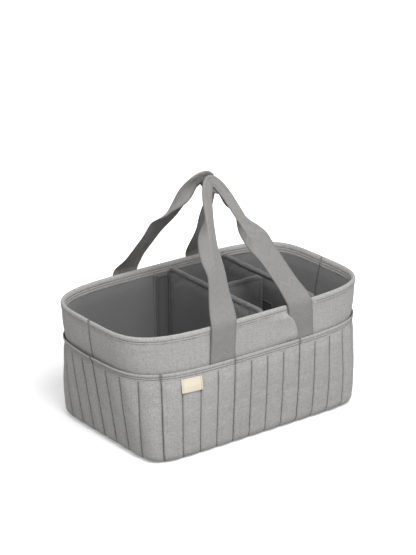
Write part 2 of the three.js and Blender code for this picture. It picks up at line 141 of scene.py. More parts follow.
# %% [markdown]
# ## Plain weave
# Canvas is a plain weave: each thread goes over one crossing thread and under the next.
# An image would do, but it has one resolution; sines give the round threads at any size.
# A chequer decides which thread is on top, and each thread gets its own tone, because
# spun yarn is never quite even. The cloth position is the piece's own UV map in metres,
# so the threads follow the cloth round the corners.

# %% Plain weave group
FLOAT, VECTOR = "NodeSocketFloat", "NodeSocketVector"
YARN_SHARE, SLUB_SHARE, CROSSING_SHARE, MEAN_SHARE = 0.22, 0.7, 0.5, 0.71
WEAVE_CONTRAST, WEAVE_DARK = 0.45, 0.22
plain_weave, inside, outside = new_group(
    "Plain weave", "ShaderNodeTree",
    [("Cloth position", VECTOR), ("Threads per metre", FLOAT), ("Slub", FLOAT)],
    [("Height", FLOAT), ("Shade", FLOAT)],
)
threads = add_node(plain_weave, "ShaderNodeVectorMath",
                   {0: inside.outputs[0], "Scale": inside.outputs[1]}, operation="SCALE")
split = add_node(plain_weave, "ShaderNodeSeparateXYZ", {0: threads.outputs[0]})
across, along = split.outputs[0], split.outputs[1]
warp, weft = ridges(plain_weave, across), ridges(plain_weave, along)
warp_number, weft_number = calc(plain_weave, "FLOOR", across), calc(plain_weave, "FLOOR", along)
on_top = calc(plain_weave, "FLOORED_MODULO", calc(plain_weave, "ADD", warp_number, weft_number), 2.0)
height = blend_values(plain_weave, on_top, warp, weft)


def thread_tone(number, shift):
    place = calc(plain_weave, "ADD", number, shift)
    return add_node(plain_weave, "ShaderNodeTexWhiteNoise", {"W": place}, noise_dimensions="1D").outputs[0]


def slub_streaks(stretch):
    drawn = add_node(plain_weave, "ShaderNodeVectorMath",
                     {0: threads.outputs[0], 1: stretch}, operation="MULTIPLY")
    return add_node(plain_weave, "ShaderNodeTexNoise",
                    {"Vector": drawn.outputs[0], "Scale": 1.0, "Detail": 2.0}).outputs[0]


tone = blend_values(plain_weave, on_top, thread_tone(warp_number, 11.5), thread_tone(weft_number, 507.5))
streak = blend_values(plain_weave, on_top, slub_streaks((0.9, 0.14, 1.0)), slub_streaks((0.14, 0.9, 1.0)))
cell = add_node(plain_weave, "ShaderNodeCombineXYZ", {0: warp_number, 1: weft_number})
crossing = add_node(plain_weave, "ShaderNodeTexWhiteNoise", {"Vector": cell.outputs[0]},
                    noise_dimensions="2D")
slubs = calc(plain_weave, "MULTIPLY", streak, SLUB_SHARE)
uneven = calc(plain_weave, "MULTIPLY_ADD", tone, YARN_SHARE, slubs)
uneven = calc(plain_weave, "MULTIPLY_ADD", crossing.outputs[0], CROSSING_SHARE, uneven)
uneven = calc(plain_weave, "SUBTRACT", uneven, MEAN_SHARE)
uneven = calc(plain_weave, "MULTIPLY", uneven, inside.outputs[2])
# Painted shade: thread tops take the light tone and the hollows between threads the dark one; the uneven part
# is the yarn's own tone.
shade = calc(plain_weave, "MULTIPLY_ADD", height, WEAVE_CONTRAST, WEAVE_DARK)
plain_weave.links.new(height, outside.inputs[0])
plain_weave.links.new(calc(plain_weave, "ADD", shade, uneven), outside.inputs[1])
print("plain weave:", len(plain_weave.nodes), "nodes")

# %% [markdown]
# ## Twill webbing
# Strap webbing is a heavier weave whose threads step sideways, which draws slanting ribs.
# Folding the slant back and forth across the strap makes the herringbone of common
# cotton-look webbing. The UV map runs across the strap and along it.

# %% Twill group
CHEVRON_WIDTH, PICKS_PER_RIB = 0.0112, 1.6
PICK_SHARE, RIB_SHARE = 0.35, 0.65
RIB_TONE, CLOUD_TONE, MEAN_TONE = 0.25, 0.3, 0.27
TWILL_CONTRAST, TWILL_DARK = 0.9, -0.07
twill, inside, outside = new_group(
    "Twill webbing", "ShaderNodeTree",
    [("Cloth position", VECTOR), ("Ribs per metre", FLOAT), ("Unevenness", FLOAT)],
    [("Height", FLOAT), ("Shade", FLOAT)],
)
split = add_node(twill, "ShaderNodeSeparateXYZ", {0: inside.outputs[0]})
chevron = calc(twill, "PINGPONG", split.outputs[0], CHEVRON_WIDTH)
slant = calc(twill, "MULTIPLY", calc(twill, "ADD", split.outputs[1], chevron), inside.outputs[1])
rib = ridges(twill, slant)
pick = ridges(twill, calc(twill, "MULTIPLY", split.outputs[0], inside.outputs[1]), PICKS_PER_RIB * math.pi)
height = calc(twill, "MULTIPLY_ADD", pick, PICK_SHARE, calc(twill, "MULTIPLY", rib, RIB_SHARE))
rib_tone = add_node(twill, "ShaderNodeTexWhiteNoise", {"W": calc(twill, "FLOOR", slant)},
                    noise_dimensions="1D").outputs[0]
cloud = add_node(twill, "ShaderNodeTexNoise",
                 {"Vector": inside.outputs[0], "Scale": 220.0, "Detail": 3.0}).outputs[0]
uneven = calc(twill, "MULTIPLY_ADD", rib_tone, RIB_TONE, calc(twill, "MULTIPLY", cloud, CLOUD_TONE))
uneven = calc(twill, "MULTIPLY", calc(twill, "SUBTRACT", uneven, MEAN_TONE), inside.outputs[2])
twill.links.new(height, outside.inputs[0])
# Painted shade: rib tops take the light tone and the hollows between ribs the dark one.
shade = calc(twill, "MULTIPLY_ADD", height, TWILL_CONTRAST, TWILL_DARK)
twill.links.new(calc(twill, "ADD", shade, uneven), outside.inputs[1])
print("twill:", len(twill.nodes), "nodes")

# %% [markdown]
# ## Nap, fading and seam shade
# Loop tape, foam and board have no threads to see, only a nap: fine noise of one size.
# Cloth that is handled also fades unevenly, which a slow cloud gives. Each sewn piece
# carries an attribute that is 1 on a seam and falls off beside it; it paints shade into
# seam grooves, stitch lines and the edges of straps and the label, and the group turns
# that, with the cloud, into one tone.

# %% Nap, fading and seam shade groups
nap, inside, outside = new_group(
    "Nap", "ShaderNodeTree", [("Position", VECTOR), ("Fibres per metre", FLOAT)],
    [("Height", FLOAT), ("Shade", FLOAT)],
)
fine = add_node(nap, "ShaderNodeTexNoise",
                {"Vector": inside.outputs[0], "Scale": inside.outputs[1], "Detail": 4.0, "Roughness": 0.7})
curls = add_node(nap, "ShaderNodeTexVoronoi",
                 {"Vector": inside.outputs[0], "Scale": calc(nap, "MULTIPLY", inside.outputs[1], 0.6)})
nap_height = calc(nap, "MULTIPLY_ADD", curls.outputs["Distance"], -0.5, fine.outputs[0])
nap.links.new(nap_height, outside.inputs[0])
# Painted shade: the nap's hollows take the dark tone.
nap.links.new(calc(nap, "MULTIPLY_ADD", nap_height, 0.9, 0.3), outside.inputs[1])

fading_and_seam_shade, inside, outside = new_group(
    "Fading and seam shade", "ShaderNodeTree", [("Position", VECTOR), ("Seam", FLOAT), ("Seam grey", FLOAT)],
    [("Tone", FLOAT)],
)
slow = add_node(fading_and_seam_shade, "ShaderNodeTexNoise", {"Vector": inside.outputs[0], "Scale": 14.0, "Detail": 3.0})
cloudy = calc(fading_and_seam_shade, "MULTIPLY_ADD", calc(fading_and_seam_shade, "SUBTRACT", slow.outputs[0], 0.5), 0.14, 1.0)
# painted shade: the seam attribute darkens the cloth along seams and edges
seam_grey = calc(fading_and_seam_shade, "MULTIPLY", inside.outputs[1], inside.outputs[2])
fading_and_seam_shade.links.new(calc(fading_and_seam_shade, "SUBTRACT", cloudy, seam_grey), outside.inputs[0])
print("nap:", len(nap.nodes), "nodes, wear:", len(fading_and_seam_shade.nodes), "nodes")

# %% [markdown]
# ## Cloth finishes
# Each finish is a Principled shader: two tones of one colour mixed by the weave's shade,
# which paints shade into the hollows between threads over the threads' own uneven tone,
# then darkened by the painted seam shade and the slow fading, with the weave's height as
# bump. Cotton and polyester canvas have a soft rim of light from loose fibres, which is the
# sheen. Each line below gives the weave, the map it follows, threads per metre, unevenness,
# the colour in levels from 0 to 255, the spread of its two tones in levels, and the depth of
# its relief in metres.

# %% Finishes
def srgb(*levels):
    linear = [((v / 255 + 0.055) / 1.055) ** 2.4 if v > 10 else v / 255 / 12.92 for v in levels]
    return (*linear, 1.0)


def tones(level, spread):
    return srgb(*[v - spread for v in level]), srgb(*[min(v + spread, 255) for v in level])


def finish(name, group, position, fineness, extra, colour, spread, bump, grey=0.4, rough=0.9, sheen=0.2):
    material, tree, shader = new_material(name)
    coordinates = add_node(tree, "ShaderNodeTexCoord")
    sizes = {0: coordinates.outputs[position], 1: fineness}
    if extra is not None:
        sizes[2] = extra
    pattern = add_node(tree, "ShaderNodeGroup", sizes, node_tree=group)
    dark, light = tones(colour, spread)
    woven = add_node(tree, "ShaderNodeMix",
                     {"Factor": pattern.outputs["Shade"], 6: dark, 7: light}, data_type="RGBA")
    seam = add_node(tree, "ShaderNodeAttribute", attribute_name="seam")
    # painted seam shade and a slow fading, as one tone that darkens the woven colour
    faded_and_shaded = add_node(tree, "ShaderNodeGroup",
                    {0: coordinates.outputs["Object"], 1: seam.outputs["Fac"], 2: grey}, node_tree=fading_and_seam_shade)
    toned = add_node(tree, "ShaderNodeMix", {0: 1.0, 6: woven.outputs[2], 7: faded_and_shaded.outputs[0]},
                     data_type="RGBA", blend_type="MULTIPLY")
    relief = add_node(tree, "ShaderNodeBump",
                      {"Height": pattern.outputs["Height"], "Distance": bump, "Strength": 0.8})
    fill_inputs(tree, shader, {
        "Base Color": toned.outputs[2], "Normal": relief.outputs[0], "Roughness": rough,
        "Sheen Weight": sheen, "Sheen Roughness": 0.45, "Specular IOR Level": 0.25,
    })
    return material


# grey sets how dark the painted seam shade is
canvas = finish("grey_canvas", plain_weave, "UV", 800.0, 1.0, (167, 166, 164), 22, 0.0003, grey=0.6)
quilting = finish("quilted_canvas", plain_weave, "UV", 800.0, 1.0, (165, 164, 162), 22, 0.0003, grey=0.8)
inner_cloth = finish("grey_lining", plain_weave, "UV", 1300.0, 0.5, (114, 113, 113), 12, 0.00015, grey=0.35)
strap_weave = finish("strap_webbing", twill, "UV", 400.0, 0.6, (131, 129, 127), 24, 0.0005, rough=0.8)
hook_backing = finish("hook_tape_backing", twill, "UV", 900.0, 0.4, (92, 91, 93), 12, 0.0003, rough=0.75)
loop_pile = finish("loop_pile", nap, "Object", 1400.0, None, (108, 107, 107), 22, 0.0006,
                   rough=1.0, sheen=0.4)
label_cotton = finish("label_cotton", plain_weave, "UV", 2200.0, 0.35, (224, 214, 194), 8, 0.00012, grey=0.25)
# The thread is drawn darker than the canvas it sews: this paints the shade that falls into each stitch's
# groove.
groove_shade_thread = finish("groove_shade_thread", twill, "Object", 2600.0, 0.4, (88, 87, 87), 12, 0.0001, rough=0.65)
foam_sheet = finish("foam_sheet", nap, "Object", 700.0, None, (226, 222, 210), 12, 0.0004, sheen=0.0)
base_board = finish("base_board", nap, "Object", 260.0, None, (88, 87, 90), 8, 0.0001, rough=0.55, sheen=0.0)
print("finishes:", len(bpy.data.materials))

# %% [markdown]
# ## The caddy's outline
# Seen from above the caddy is a rounded oblong, squarer at the base than at the rim, and
# it swells a little on its way up. All layers of the wall are offsets of this one outline.
# A place on the wall is a share of the way round (0 is the middle of the left end, 0.25
# the middle of the front), an offset outwards, and a height.

# %% Outline
HEIGHT = 197.0
HEM_TOP, POCKET_TOP, WALL_FOOT, WALL_TOP = 140.0, 127.7, 1.5, 191.6
BASE_HALF_LENGTH, BASE_HALF_WIDTH = 190.0, 123.0
LENGTH_FLARE, WIDTH_SWELL, SWELL_TOP = 32.0, 6.0, 135.0
FOOT_INSET, FOOT_ROUND = 8.0, 14.0
BASE_SQUARENESS, SQUARENESS_LOST = 11.0, 6.75
OUTLINE_STEPS = 1440
OUTLINES = {}


def smooth(value, low, high):
    part = np.clip((value - low) / (high - low), 0.0, 1.0)
    return part * part * (3.0 - 2.0 * part)


def bell(distance, width):
    """1 at no distance, falling off over `width` on both sides."""
    return np.exp(-((distance / width) ** 2))


def stacked(*parts):
    return np.stack(parts, axis=-1)


def grid_of(first, second):
    return np.meshgrid(first, second, indexing="ij")


def walked_along(line):
    """Length along a line of points, at each of them."""
    steps = np.sqrt((np.diff(line, axis=0) ** 2).sum(axis=1))
    return np.concatenate([[0.0], np.cumsum(steps)])


def section(z):
    """Half length, half width and squareness of the outline at a height."""
    rise = np.sin(np.clip(z / SWELL_TOP, 0.0, 1.0) * np.pi / 2)
    low = np.clip(1.0 - z / FOOT_ROUND, 0.0, 1.0)
    inset = FOOT_INSET * (1.0 - np.sqrt(1.0 - low * low))
    half_length = BASE_HALF_LENGTH + LENGTH_FLARE * np.clip(z / HEIGHT, 0.0, 1.0) - inset
    half_width = BASE_HALF_WIDTH + WIDTH_SWELL * rise - inset
    return half_length, half_width, BASE_SQUARENESS - SQUARENESS_LOST * rise


def outline(level):
    if level not in OUTLINES:
        a, b, n = section(level)
        turn = np.pi * (1.0 + 2.0 * np.arange(OUTLINE_STEPS + 1) / OUTLINE_STEPS)
        x = a * np.sign(np.cos(turn)) * np.abs(np.cos(turn)) ** (2.0 / n)
        y = b * np.sign(np.sin(turn)) * np.abs(np.sin(turn)) ** (2.0 / n)
        OUTLINES[level] = x, y, walked_along(stacked(x, y))
    return OUTLINES[level]


print("base: %.0f by %.0f mm" % (2 * BASE_HALF_LENGTH, 2 * BASE_HALF_WIDTH))

# %% [markdown]
# Round a corner, equal steps of an angle are not equal lengths of cloth, so a place is
# found by its length along the outline. The direction out of the wall is the outline's
# gradient there.

# %% Places on the wall
def wall(share, offset, z):
    """Points on the wall and the directions out of it."""
    share, offset, z = np.broadcast_arrays(*[np.asarray(v, float) for v in (share, offset, z)])
    spots, outs = np.zeros(share.shape + (3,)), np.zeros(share.shape + (3,))
    levels = np.round(z, 2)
    for level in np.unique(levels):
        here = levels == level
        a, b, n = section(level)
        x, y, walked = outline(level)
        goal = np.mod(share[here], 1.0) * walked[-1]
        px, py = np.interp(goal, walked, x), np.interp(goal, walked, y)
        gx = np.sign(px) * np.abs(px / a) ** (n - 1) / a
        gy = np.sign(py) * np.abs(py / b) ** (n - 1) / b
        size = np.hypot(gx, gy)
        outs[here] = stacked(gx / size, gy / size, 0 * gx)
        spots[here] = stacked(px, py, z[here]) + outs[here] * offset[here][:, None]
    return spots, outs


def side_reach(x, z):
    """Distance of a long wall from the middle, at a place along it."""
    a, b, n = section(z)
    return b * (1.0 - np.abs(x / a) ** n) ** (1.0 / n)


ROUND = outline(HEM_TOP)[2][-1]
CORNER_BAY, SIDE_BAY = 127.0 / ROUND, 122.0 / ROUND
BAY_STARTS = np.array([0.0, *(CORNER_BAY + k * SIDE_BAY for k in range(4)), 0.5])
HALVES = [("front", 0.0), ("rear", 0.5)]
print("once round the hem: %.0f mm" % ROUND)

# %% [markdown]
# ## From rows of points to cloth
# Nearly every sewn piece is a grid of points with a front and a back, or a closed section
# carried along a line. Two helpers cover both: `shell` closes two grids into thin cloth,
# `tube` carries a ring along. A mesh that came out inside out, with a negative volume, is
# turned. The UV map is in metres, so one weave fits every piece.

# %% Mesh helpers
MILLIMETRE = 0.001


def plain_mesh(name, points, edges, faces):
    mesh = bpy.data.meshes.new(name)
    mesh.from_pydata((points * MILLIMETRE).tolist(), edges, [tuple(int(k) for k in f) for f in faces])
    return mesh


def outside_out(points, faces):
    if volume_of(points, faces) < 0:
        faces = [tuple(reversed(f)) for f in faces]
    return faces


def make_piece(name, points, faces, uv, seam, sharp=None):
    points = np.asarray(points, float).reshape(-1, 3)
    mesh = plain_mesh(name, points, [], outside_out(points, faces))
    mesh.shade_smooth()
    uv = np.asarray(uv, float).reshape(-1, 2) * MILLIMETRE
    corner = np.empty(len(mesh.loops), int)
    mesh.loops.foreach_get("vertex_index", corner)
    mesh.uv_layers.new(name="cloth").data.foreach_set("uv", uv[corner].astype(np.float32).ravel())
    tone = np.asarray(seam, float).ravel().astype(np.float32)
    mesh.attributes.new("seam", "FLOAT", "POINT").data.foreach_set("value", tone)
    if sharp is not None:
        ends = np.empty(len(mesh.edges) * 2, int)
        mesh.edges.foreach_get("vertices", ends)
        marked = np.asarray(sharp, bool)[ends.reshape(-1, 2)].all(axis=1)
        mesh.attributes.new("sharp_edge", "BOOLEAN", "EDGE").data.foreach_set("value", marked)
    piece = bpy.data.objects.new(name, mesh)
    scene.collection.objects.link(piece)
    return piece


def volume_of(points, faces):
    total = 0.0
    for face in faces:
        a, b, c = points[face[0]], points[face[1]], points[face[2]]
        total += np.dot(a, np.cross(b, c))
        for k in range(3, len(face)):
            total += np.dot(a, np.cross(points[face[k - 1]], points[face[k]]))
    return total

# %% [markdown]
# The two makers of cloth come next, and `settle`, which gives a finished piece what every
# piece needs: its finish, the body it rides on and the solids it stands for.

# %% Shells and tubes
def grid_faces(rows, columns, start=0):
    k = start + np.arange(rows * columns).reshape(rows, columns)
    quads = np.stack([k[:-1, :-1], k[1:, :-1], k[1:, 1:], k[:-1, 1:]], axis=-1)
    return [tuple(q) for q in quads.reshape(-1, 4)]


def shell(name, front, back, uv, seam, sharp=None):
    rows, columns = front.shape[:2]
    count = rows * columns
    faces = grid_faces(rows, columns)
    faces += [tuple(reversed(f)) for f in grid_faces(rows, columns, count)]
    k = np.arange(count).reshape(rows, columns)
    edge = np.concatenate([k[0, :], k[1:, -1], k[-1, -2::-1], k[-2:0:-1, 0]])
    following = np.roll(edge, -1)
    faces += [(a, b, b + count, a + count) for a, b in zip(edge, following)]

    def twice(values):
        return np.concatenate([np.asarray(values).reshape(count, -1)] * 2)

    points = np.concatenate([front.reshape(-1, 3), back.reshape(-1, 3)])
    sharp = None if sharp is None else twice(sharp)[:, 0]
    return make_piece(name, points, faces, twice(uv), twice(seam), sharp)


def tube(name, rings, uv, seam):
    rows, columns = rings.shape[:2]
    k = np.arange(rows * columns).reshape(rows, columns)
    around = np.roll(k, -1, axis=1)
    quads = np.stack([k[:-1], k[1:], around[1:], around[:-1]], axis=-1)
    faces = [tuple(q) for q in quads.reshape(-1, 4)]
    faces += [tuple(reversed(k[0])), tuple(k[-1])]
    return make_piece(name, rings, faces, uv, seam)


def cloudy_at(points, size, shift):
    flat = np.asarray(points, float).reshape(-1, 3) / size + shift
    return np.array([noise.noise(Vector(p)) for p in flat]).reshape(np.shape(points)[:-1])


def settle(piece, material, body, slot, *nodes):
    piece.data.materials.clear()
    piece.data.materials.append(material)
    if body is not None:
        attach(piece, body)
    if nodes:
        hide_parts(*nodes)
    print("%-28s %6d faces" % (piece.name, len(piece.data.polygons)))

# %% [markdown]
# ## Rows of stitches
# A lockstitch shows as a row of short raised dashes, sunk at both ends. Hundreds of them
# lie on every seam, so they are instances: a Geometry Nodes tree reads lines of edges,
# sets points along them at the stitch pitch, and puts a small lens of thread on each,
# lying along the seam with its top facing out of the cloth. Modelling each by hand would
# be slow and a bump map would vanish in profile.

# %% Stitch tree
STITCH_SWAY = 0.09
stitch_tree, inside, outside = new_group(
    "Stitch rows", "GeometryNodeTree",
    [("Seam lines", "NodeSocketGeometry"), ("Pitch", FLOAT), ("Length", FLOAT), ("Thickness", FLOAT),
     ("Seed", "NodeSocketInt"), ("Thread", "NodeSocketMaterial")],
    [("Stitches", "NodeSocketGeometry")],
)
lines = add_node(stitch_tree, "GeometryNodeMeshToCurve", {"Mesh": inside.outputs["Seam lines"]})
spaced = add_node(stitch_tree, "GeometryNodeResampleCurve",
                  {"Curve": lines.outputs[0], "Length": inside.outputs["Pitch"]}, mode="LENGTH")
outward = add_node(stitch_tree, "GeometryNodeInputNamedAttribute", {"Name": "out"}, data_type="FLOAT_VECTOR")
tangent = add_node(stitch_tree, "GeometryNodeInputTangent")
laid = add_node(stitch_tree, "FunctionNodeAlignRotationToVector", {"Vector": tangent.outputs[0]}, axis="X")
faced = add_node(stitch_tree, "FunctionNodeAlignRotationToVector",
                 {"Rotation": laid.outputs[0], "Vector": outward.outputs[0]}, axis="Z", pivot_axis="X")
sway = add_node(stitch_tree, "FunctionNodeRandomValue",
                {2: -STITCH_SWAY, 3: STITCH_SWAY, "Seed": inside.outputs["Seed"]}, data_type="FLOAT")
swayed = add_node(stitch_tree, "FunctionNodeRotateRotation", {
    "Rotation": faced.outputs[0],
    "Rotate By": add_node(stitch_tree, "FunctionNodeAxisAngleToRotation",
                          {"Axis": (0.0, 0.0, 1.0), "Angle": sway.outputs[1]}).outputs[0],
}, rotation_space="LOCAL")
lens = add_node(stitch_tree, "GeometryNodeMeshUVSphere", {"Segments": 6, "Rings": 4, "Radius": 0.5})
lying = add_node(stitch_tree, "GeometryNodeTransform",
                 {"Geometry": lens.outputs[0], "Rotation": (0.0, math.pi / 2, 0.0)})
size = add_node(stitch_tree, "ShaderNodeCombineXYZ", {
    "X": inside.outputs["Length"], "Y": inside.outputs["Thickness"], "Z": inside.outputs["Thickness"]})
placed = add_node(stitch_tree, "GeometryNodeInstanceOnPoints", {
    "Points": spaced.outputs[0], "Instance": lying.outputs[0],
    "Rotation": swayed.outputs[0], "Scale": size.outputs[0]})
real = add_node(stitch_tree, "GeometryNodeRealizeInstances", {"Geometry": placed.outputs[0]})
threaded = add_node(stitch_tree, "GeometryNodeSetMaterial",
                    {"Geometry": real.outputs[0], "Material": inside.outputs["Thread"]})
stitch_tree.links.new(threaded.outputs[0], outside.inputs[0])
print("stitch tree:", len(stitch_tree.nodes), "nodes")

# %% Sewing helpers
STITCH_LIFT = 0.12
SEAM_LINES = {}


def sew(row_set, points, outs):
    """Adds a line of stitches, lifted a little off the cloth, to one set of rows."""
    points, outs = np.asarray(points, float), np.asarray(outs, float)
    outs = np.broadcast_to(outs, points.shape)
    SEAM_LINES.setdefault(row_set, []).append((points + outs * STITCH_LIFT, outs))


def sewn_piece(name, row_set, pitch, length, thickness, seed):
    points = np.concatenate([line for line, _ in SEAM_LINES[row_set]])
    outs = np.concatenate([out for _, out in SEAM_LINES[row_set]])
    edges, start = [], 0
    for line, _ in SEAM_LINES[row_set]:
        edges += [(start + k, start + k + 1) for k in range(len(line) - 1)]
        start += len(line)
    mesh = plain_mesh(name + "_lines", points, edges, [])
    facing = mesh.attributes.new("out", "FLOAT_VECTOR", "POINT")
    facing.data.foreach_set("vector", outs.astype(np.float32).ravel())
    guide = bpy.data.objects.new(name + "_guide", mesh)
    scene.collection.objects.link(guide)
    modifier = guide.modifiers.new("stitches", "NODES")
    modifier.node_group = stitch_tree
    socket = {s.name: s.identifier for s in stitch_tree.interface.items_tree if s.in_out == "INPUT"}
    for key, value in [("Pitch", pitch), ("Length", length), ("Thickness", thickness)]:
        modifier[socket[key]] = value * MILLIMETRE
    modifier[socket["Seed"]] = seed
    modifier[socket["Thread"]] = groove_shade_thread
    done = bpy.data.meshes.new_from_object(guide.evaluated_get(bpy.context.evaluated_depsgraph_get()))
    done.name = name
    done.shade_smooth()
    bpy.data.objects.remove(guide)
    piece = bpy.data.objects.new(name, done)
    scene.collection.objects.link(piece)
    return piece

# %% [markdown]
# ## Padded cloth by simulation
# Quilting is two layers sewn together over wadding. The stitched lines are held, the cloth
# between them is a little longer than the gap, and the wadding pushes it out. Blender's
# Cloth does just that: pinned seams, pressure from inside, no gravity, and a small growth
# of the cloth that gathers into fine puckers. Drawing the puckers by noise was the other
# way, but they would not know where the seams are.

# %% Inflate
CLOTH_QUALITY, CLOTH_FRAMES = 6, 20


def inflate(points, faces, held, pressure, growth, most, bend=0.5):
    """Lets cloth swell between its held points; no point moves further than `most` mm."""
    points = np.asarray(points, float).reshape(-1, 3)
    cloth = bpy.data.objects.new("swelling", plain_mesh("swelling", points, [], faces))
    scene.collection.objects.link(cloth)
    cloth.vertex_groups.new(name="held").add([int(k) for k in held], 1.0, "REPLACE")
    modifier = cloth.modifiers.new("cloth", "CLOTH")
    settings = modifier.settings
    settings.quality = CLOTH_QUALITY
    settings.vertex_group_mass = "held"
    settings.use_pressure = True
    settings.uniform_pressure_force = pressure
    settings.shrink_min = -growth
    settings.bending_stiffness = bend
    settings.effector_weights.gravity = 0.0
    modifier.point_cache.frame_start, modifier.point_cache.frame_end = 1, CLOTH_FRAMES
    for step in range(1, CLOTH_FRAMES + 1):
        scene.frame_set(step)
    swollen = bpy.data.meshes.new_from_object(cloth.evaluated_get(bpy.context.evaluated_depsgraph_get()))
    result = np.empty(len(points) * 3)
    swollen.vertices.foreach_get("co", result)
    moved = result.reshape(-1, 3) / MILLIMETRE - points
    bpy.data.objects.remove(cloth)
    bpy.data.meshes.remove(swollen)
    scene.frame_set(1)
    reach = np.linalg.norm(moved, axis=1, keepdims=True)
    return points + moved * np.minimum(1.0, most / np.maximum(reach, 1e-9))

# %% [markdown]
# ## Quilted pockets
# A band of quilting runs all round below the hem: ten bays, each of four upright channels,
# sewn to the wall between the bays so that every bay is a pocket. The channels stay narrow
# at the hem and roll under at the base seam, which scallops the bottom edge. Each bay is
# one padded piece, swollen by the cloth simulation between its pinned seams.

# %% Pocket bays
POCKET_BACK, SEAM_FACE, PUFF = 2.4, 3.6, 3.0
POCKET_FOOT, FOOT_ROLL, HEAD_ROLL, HEAD_PUFF = 0.6, 14.0, 14.0, 0.36
CHANNELS, SEAM_GAP, SEAM_SHADOW = 4, 0.15, 0.7
CROWN_POWER, LUMPS, SEWN_FROM, SEWN_TO = 0.6, 0.35, 2.0, 127.0
CHANNEL_PARTS = np.array([0, 0.03, 0.08, 0.15, 0.24, 0.36, 0.5, 0.64, 0.76, 0.85, 0.92, 0.97])
POCKET_ROWS = np.concatenate([[POCKET_FOOT, 1.5, 3.0, 5.0, 7.6, 10.6], np.linspace(13.6, 128.4, 44)])


def swell(z):
    """How full a channel is at a height: rolled under at its foot, drawn in at the hem."""
    foot = np.clip((z - POCKET_FOOT) / FOOT_ROLL, 0.0, 1.0)
    head = smooth(POCKET_TOP - z, 0.0, HEAD_ROLL)
    return np.sqrt(foot * (2.0 - foot)) * (HEAD_PUFF + (1.0 - HEAD_PUFF) * head)


def pocket_columns(start, width):
    edge = SEAM_GAP / ROUND
    parts = np.concatenate([c + CHANNEL_PARTS for c in range(CHANNELS)] + [[CHANNELS]])
    return parts, start + edge + (width - 2 * edge) * parts / CHANNELS


BAYS = {
    "front": ("left_front", "front_left", "front_middle", "front_right", "right_front"),
    "rear": ("right_rear", "rear_right", "rear_middle", "rear_left", "left_rear"),
}
pocket_faces = {}


def pocket(name, side, start, width):
    parts, shares = pocket_columns(start, width)
    s, z = grid_of(shares, POCKET_ROWS)
    crown = np.abs(np.sin(np.pi * parts)) ** CROWN_POWER
    offsets = SEAM_FACE + PUFF * crown[:, None] * swell(z)
    front, outs = wall(s, offsets, z)
    front += outs * (LUMPS * crown[:, None] * cloudy_at(front, 26.0, 3.1))[..., None]
    back, _ = wall(s, np.full_like(z, POCKET_BACK), z)
    on_seam = np.isclose(parts % 1.0, 0.0)
    held = np.zeros(s.shape, bool)
    held[on_seam, :] = held[:, :2] = held[:, -1:] = True
    faces = grid_faces(*s.shape)
    swollen = inflate(front, faces, np.flatnonzero(held), pressure=2.0, growth=0.004, most=0.8, bend=2.0)
    swollen = swollen.reshape(front.shape)
    # Painted shade: the seam tone darkens the cloth along each channel seam.
    beside = np.abs(parts - np.round(parts)) * width * ROUND / CHANNELS
    seam = np.broadcast_to(np.exp(-beside / SEAM_SHADOW)[:, None], s.shape)
    sharp = np.broadcast_to(on_seam[:, None], s.shape)
    piece = shell(name + "_quilting", swollen, back, stacked(s * ROUND, z), seam, sharp)
    settle(piece, quilting, "basket", "quilt", name)
    pocket_faces[name] = shares, swollen
    rows = (POCKET_ROWS > SEWN_FROM) & (POCKET_ROWS < SEWN_TO)
    for column in np.flatnonzero(on_seam)[:-1]:
        sew("channels_" + side, front[column][rows], outs[column][rows])


for side, half in HALVES:
    for name, start, end in zip(BAYS[side], BAY_STARTS, BAY_STARTS[1:]):
        pocket(name + "_pocket", side, half + start, end - start)

# %% [markdown]
# ## Bands round the caddy
# The hem of the pockets and the rim are bands that run round the caddy, sewn in two halves.
# Each is a closed section carried round half the outline and nudged by the place it is at.
# A curve with a bevel would do the same, but could not dent the section at a seam.

# %% Band helpers
BAND_STEP = 2.2


def seam_dents(shares, width):
    """1 on a division between two bays, falling off over `width` mm on both sides."""
    starts = np.concatenate([BAY_STARTS[:-1], 0.5 + BAY_STARTS])
    nearest = np.abs(shares[:, None] - starts[None, :]).min(axis=1) * ROUND
    return bell(nearest, width)


def half_shares(half, step):
    edge = SEAM_GAP / ROUND
    count = int(0.5 * ROUND / step)
    return np.linspace(half + edge, half + 0.5 - edge, count)


def from_end(shares):
    """Length along the hem to the nearer end seam."""
    return np.minimum(np.mod(shares, 0.5), 0.5 - np.mod(shares, 0.5)) * ROUND


def carried_round(shares, profile, nudge):
    s, k = grid_of(shares, np.arange(len(profile)))
    rings, outs = wall(s, profile[k, 0] + nudge, profile[k, 1])
    return rings, outs, stacked(s * ROUND, walked_along(profile)[k])


def at_points(profile, chosen):
    """1 at the chosen points of a section, 0 elsewhere."""
    return np.array([1.0 if tuple(p) in chosen else 0.0 for p in profile])

# %% [markdown]
# ## Pocket hem
# Over the channels the pocket cloth is folded to a band and topstitched twice. Where two
# bays meet, the division seam runs on up through the band and dents it. At both ends the
# band gapes from the wall, and each half sags a little where it ends.

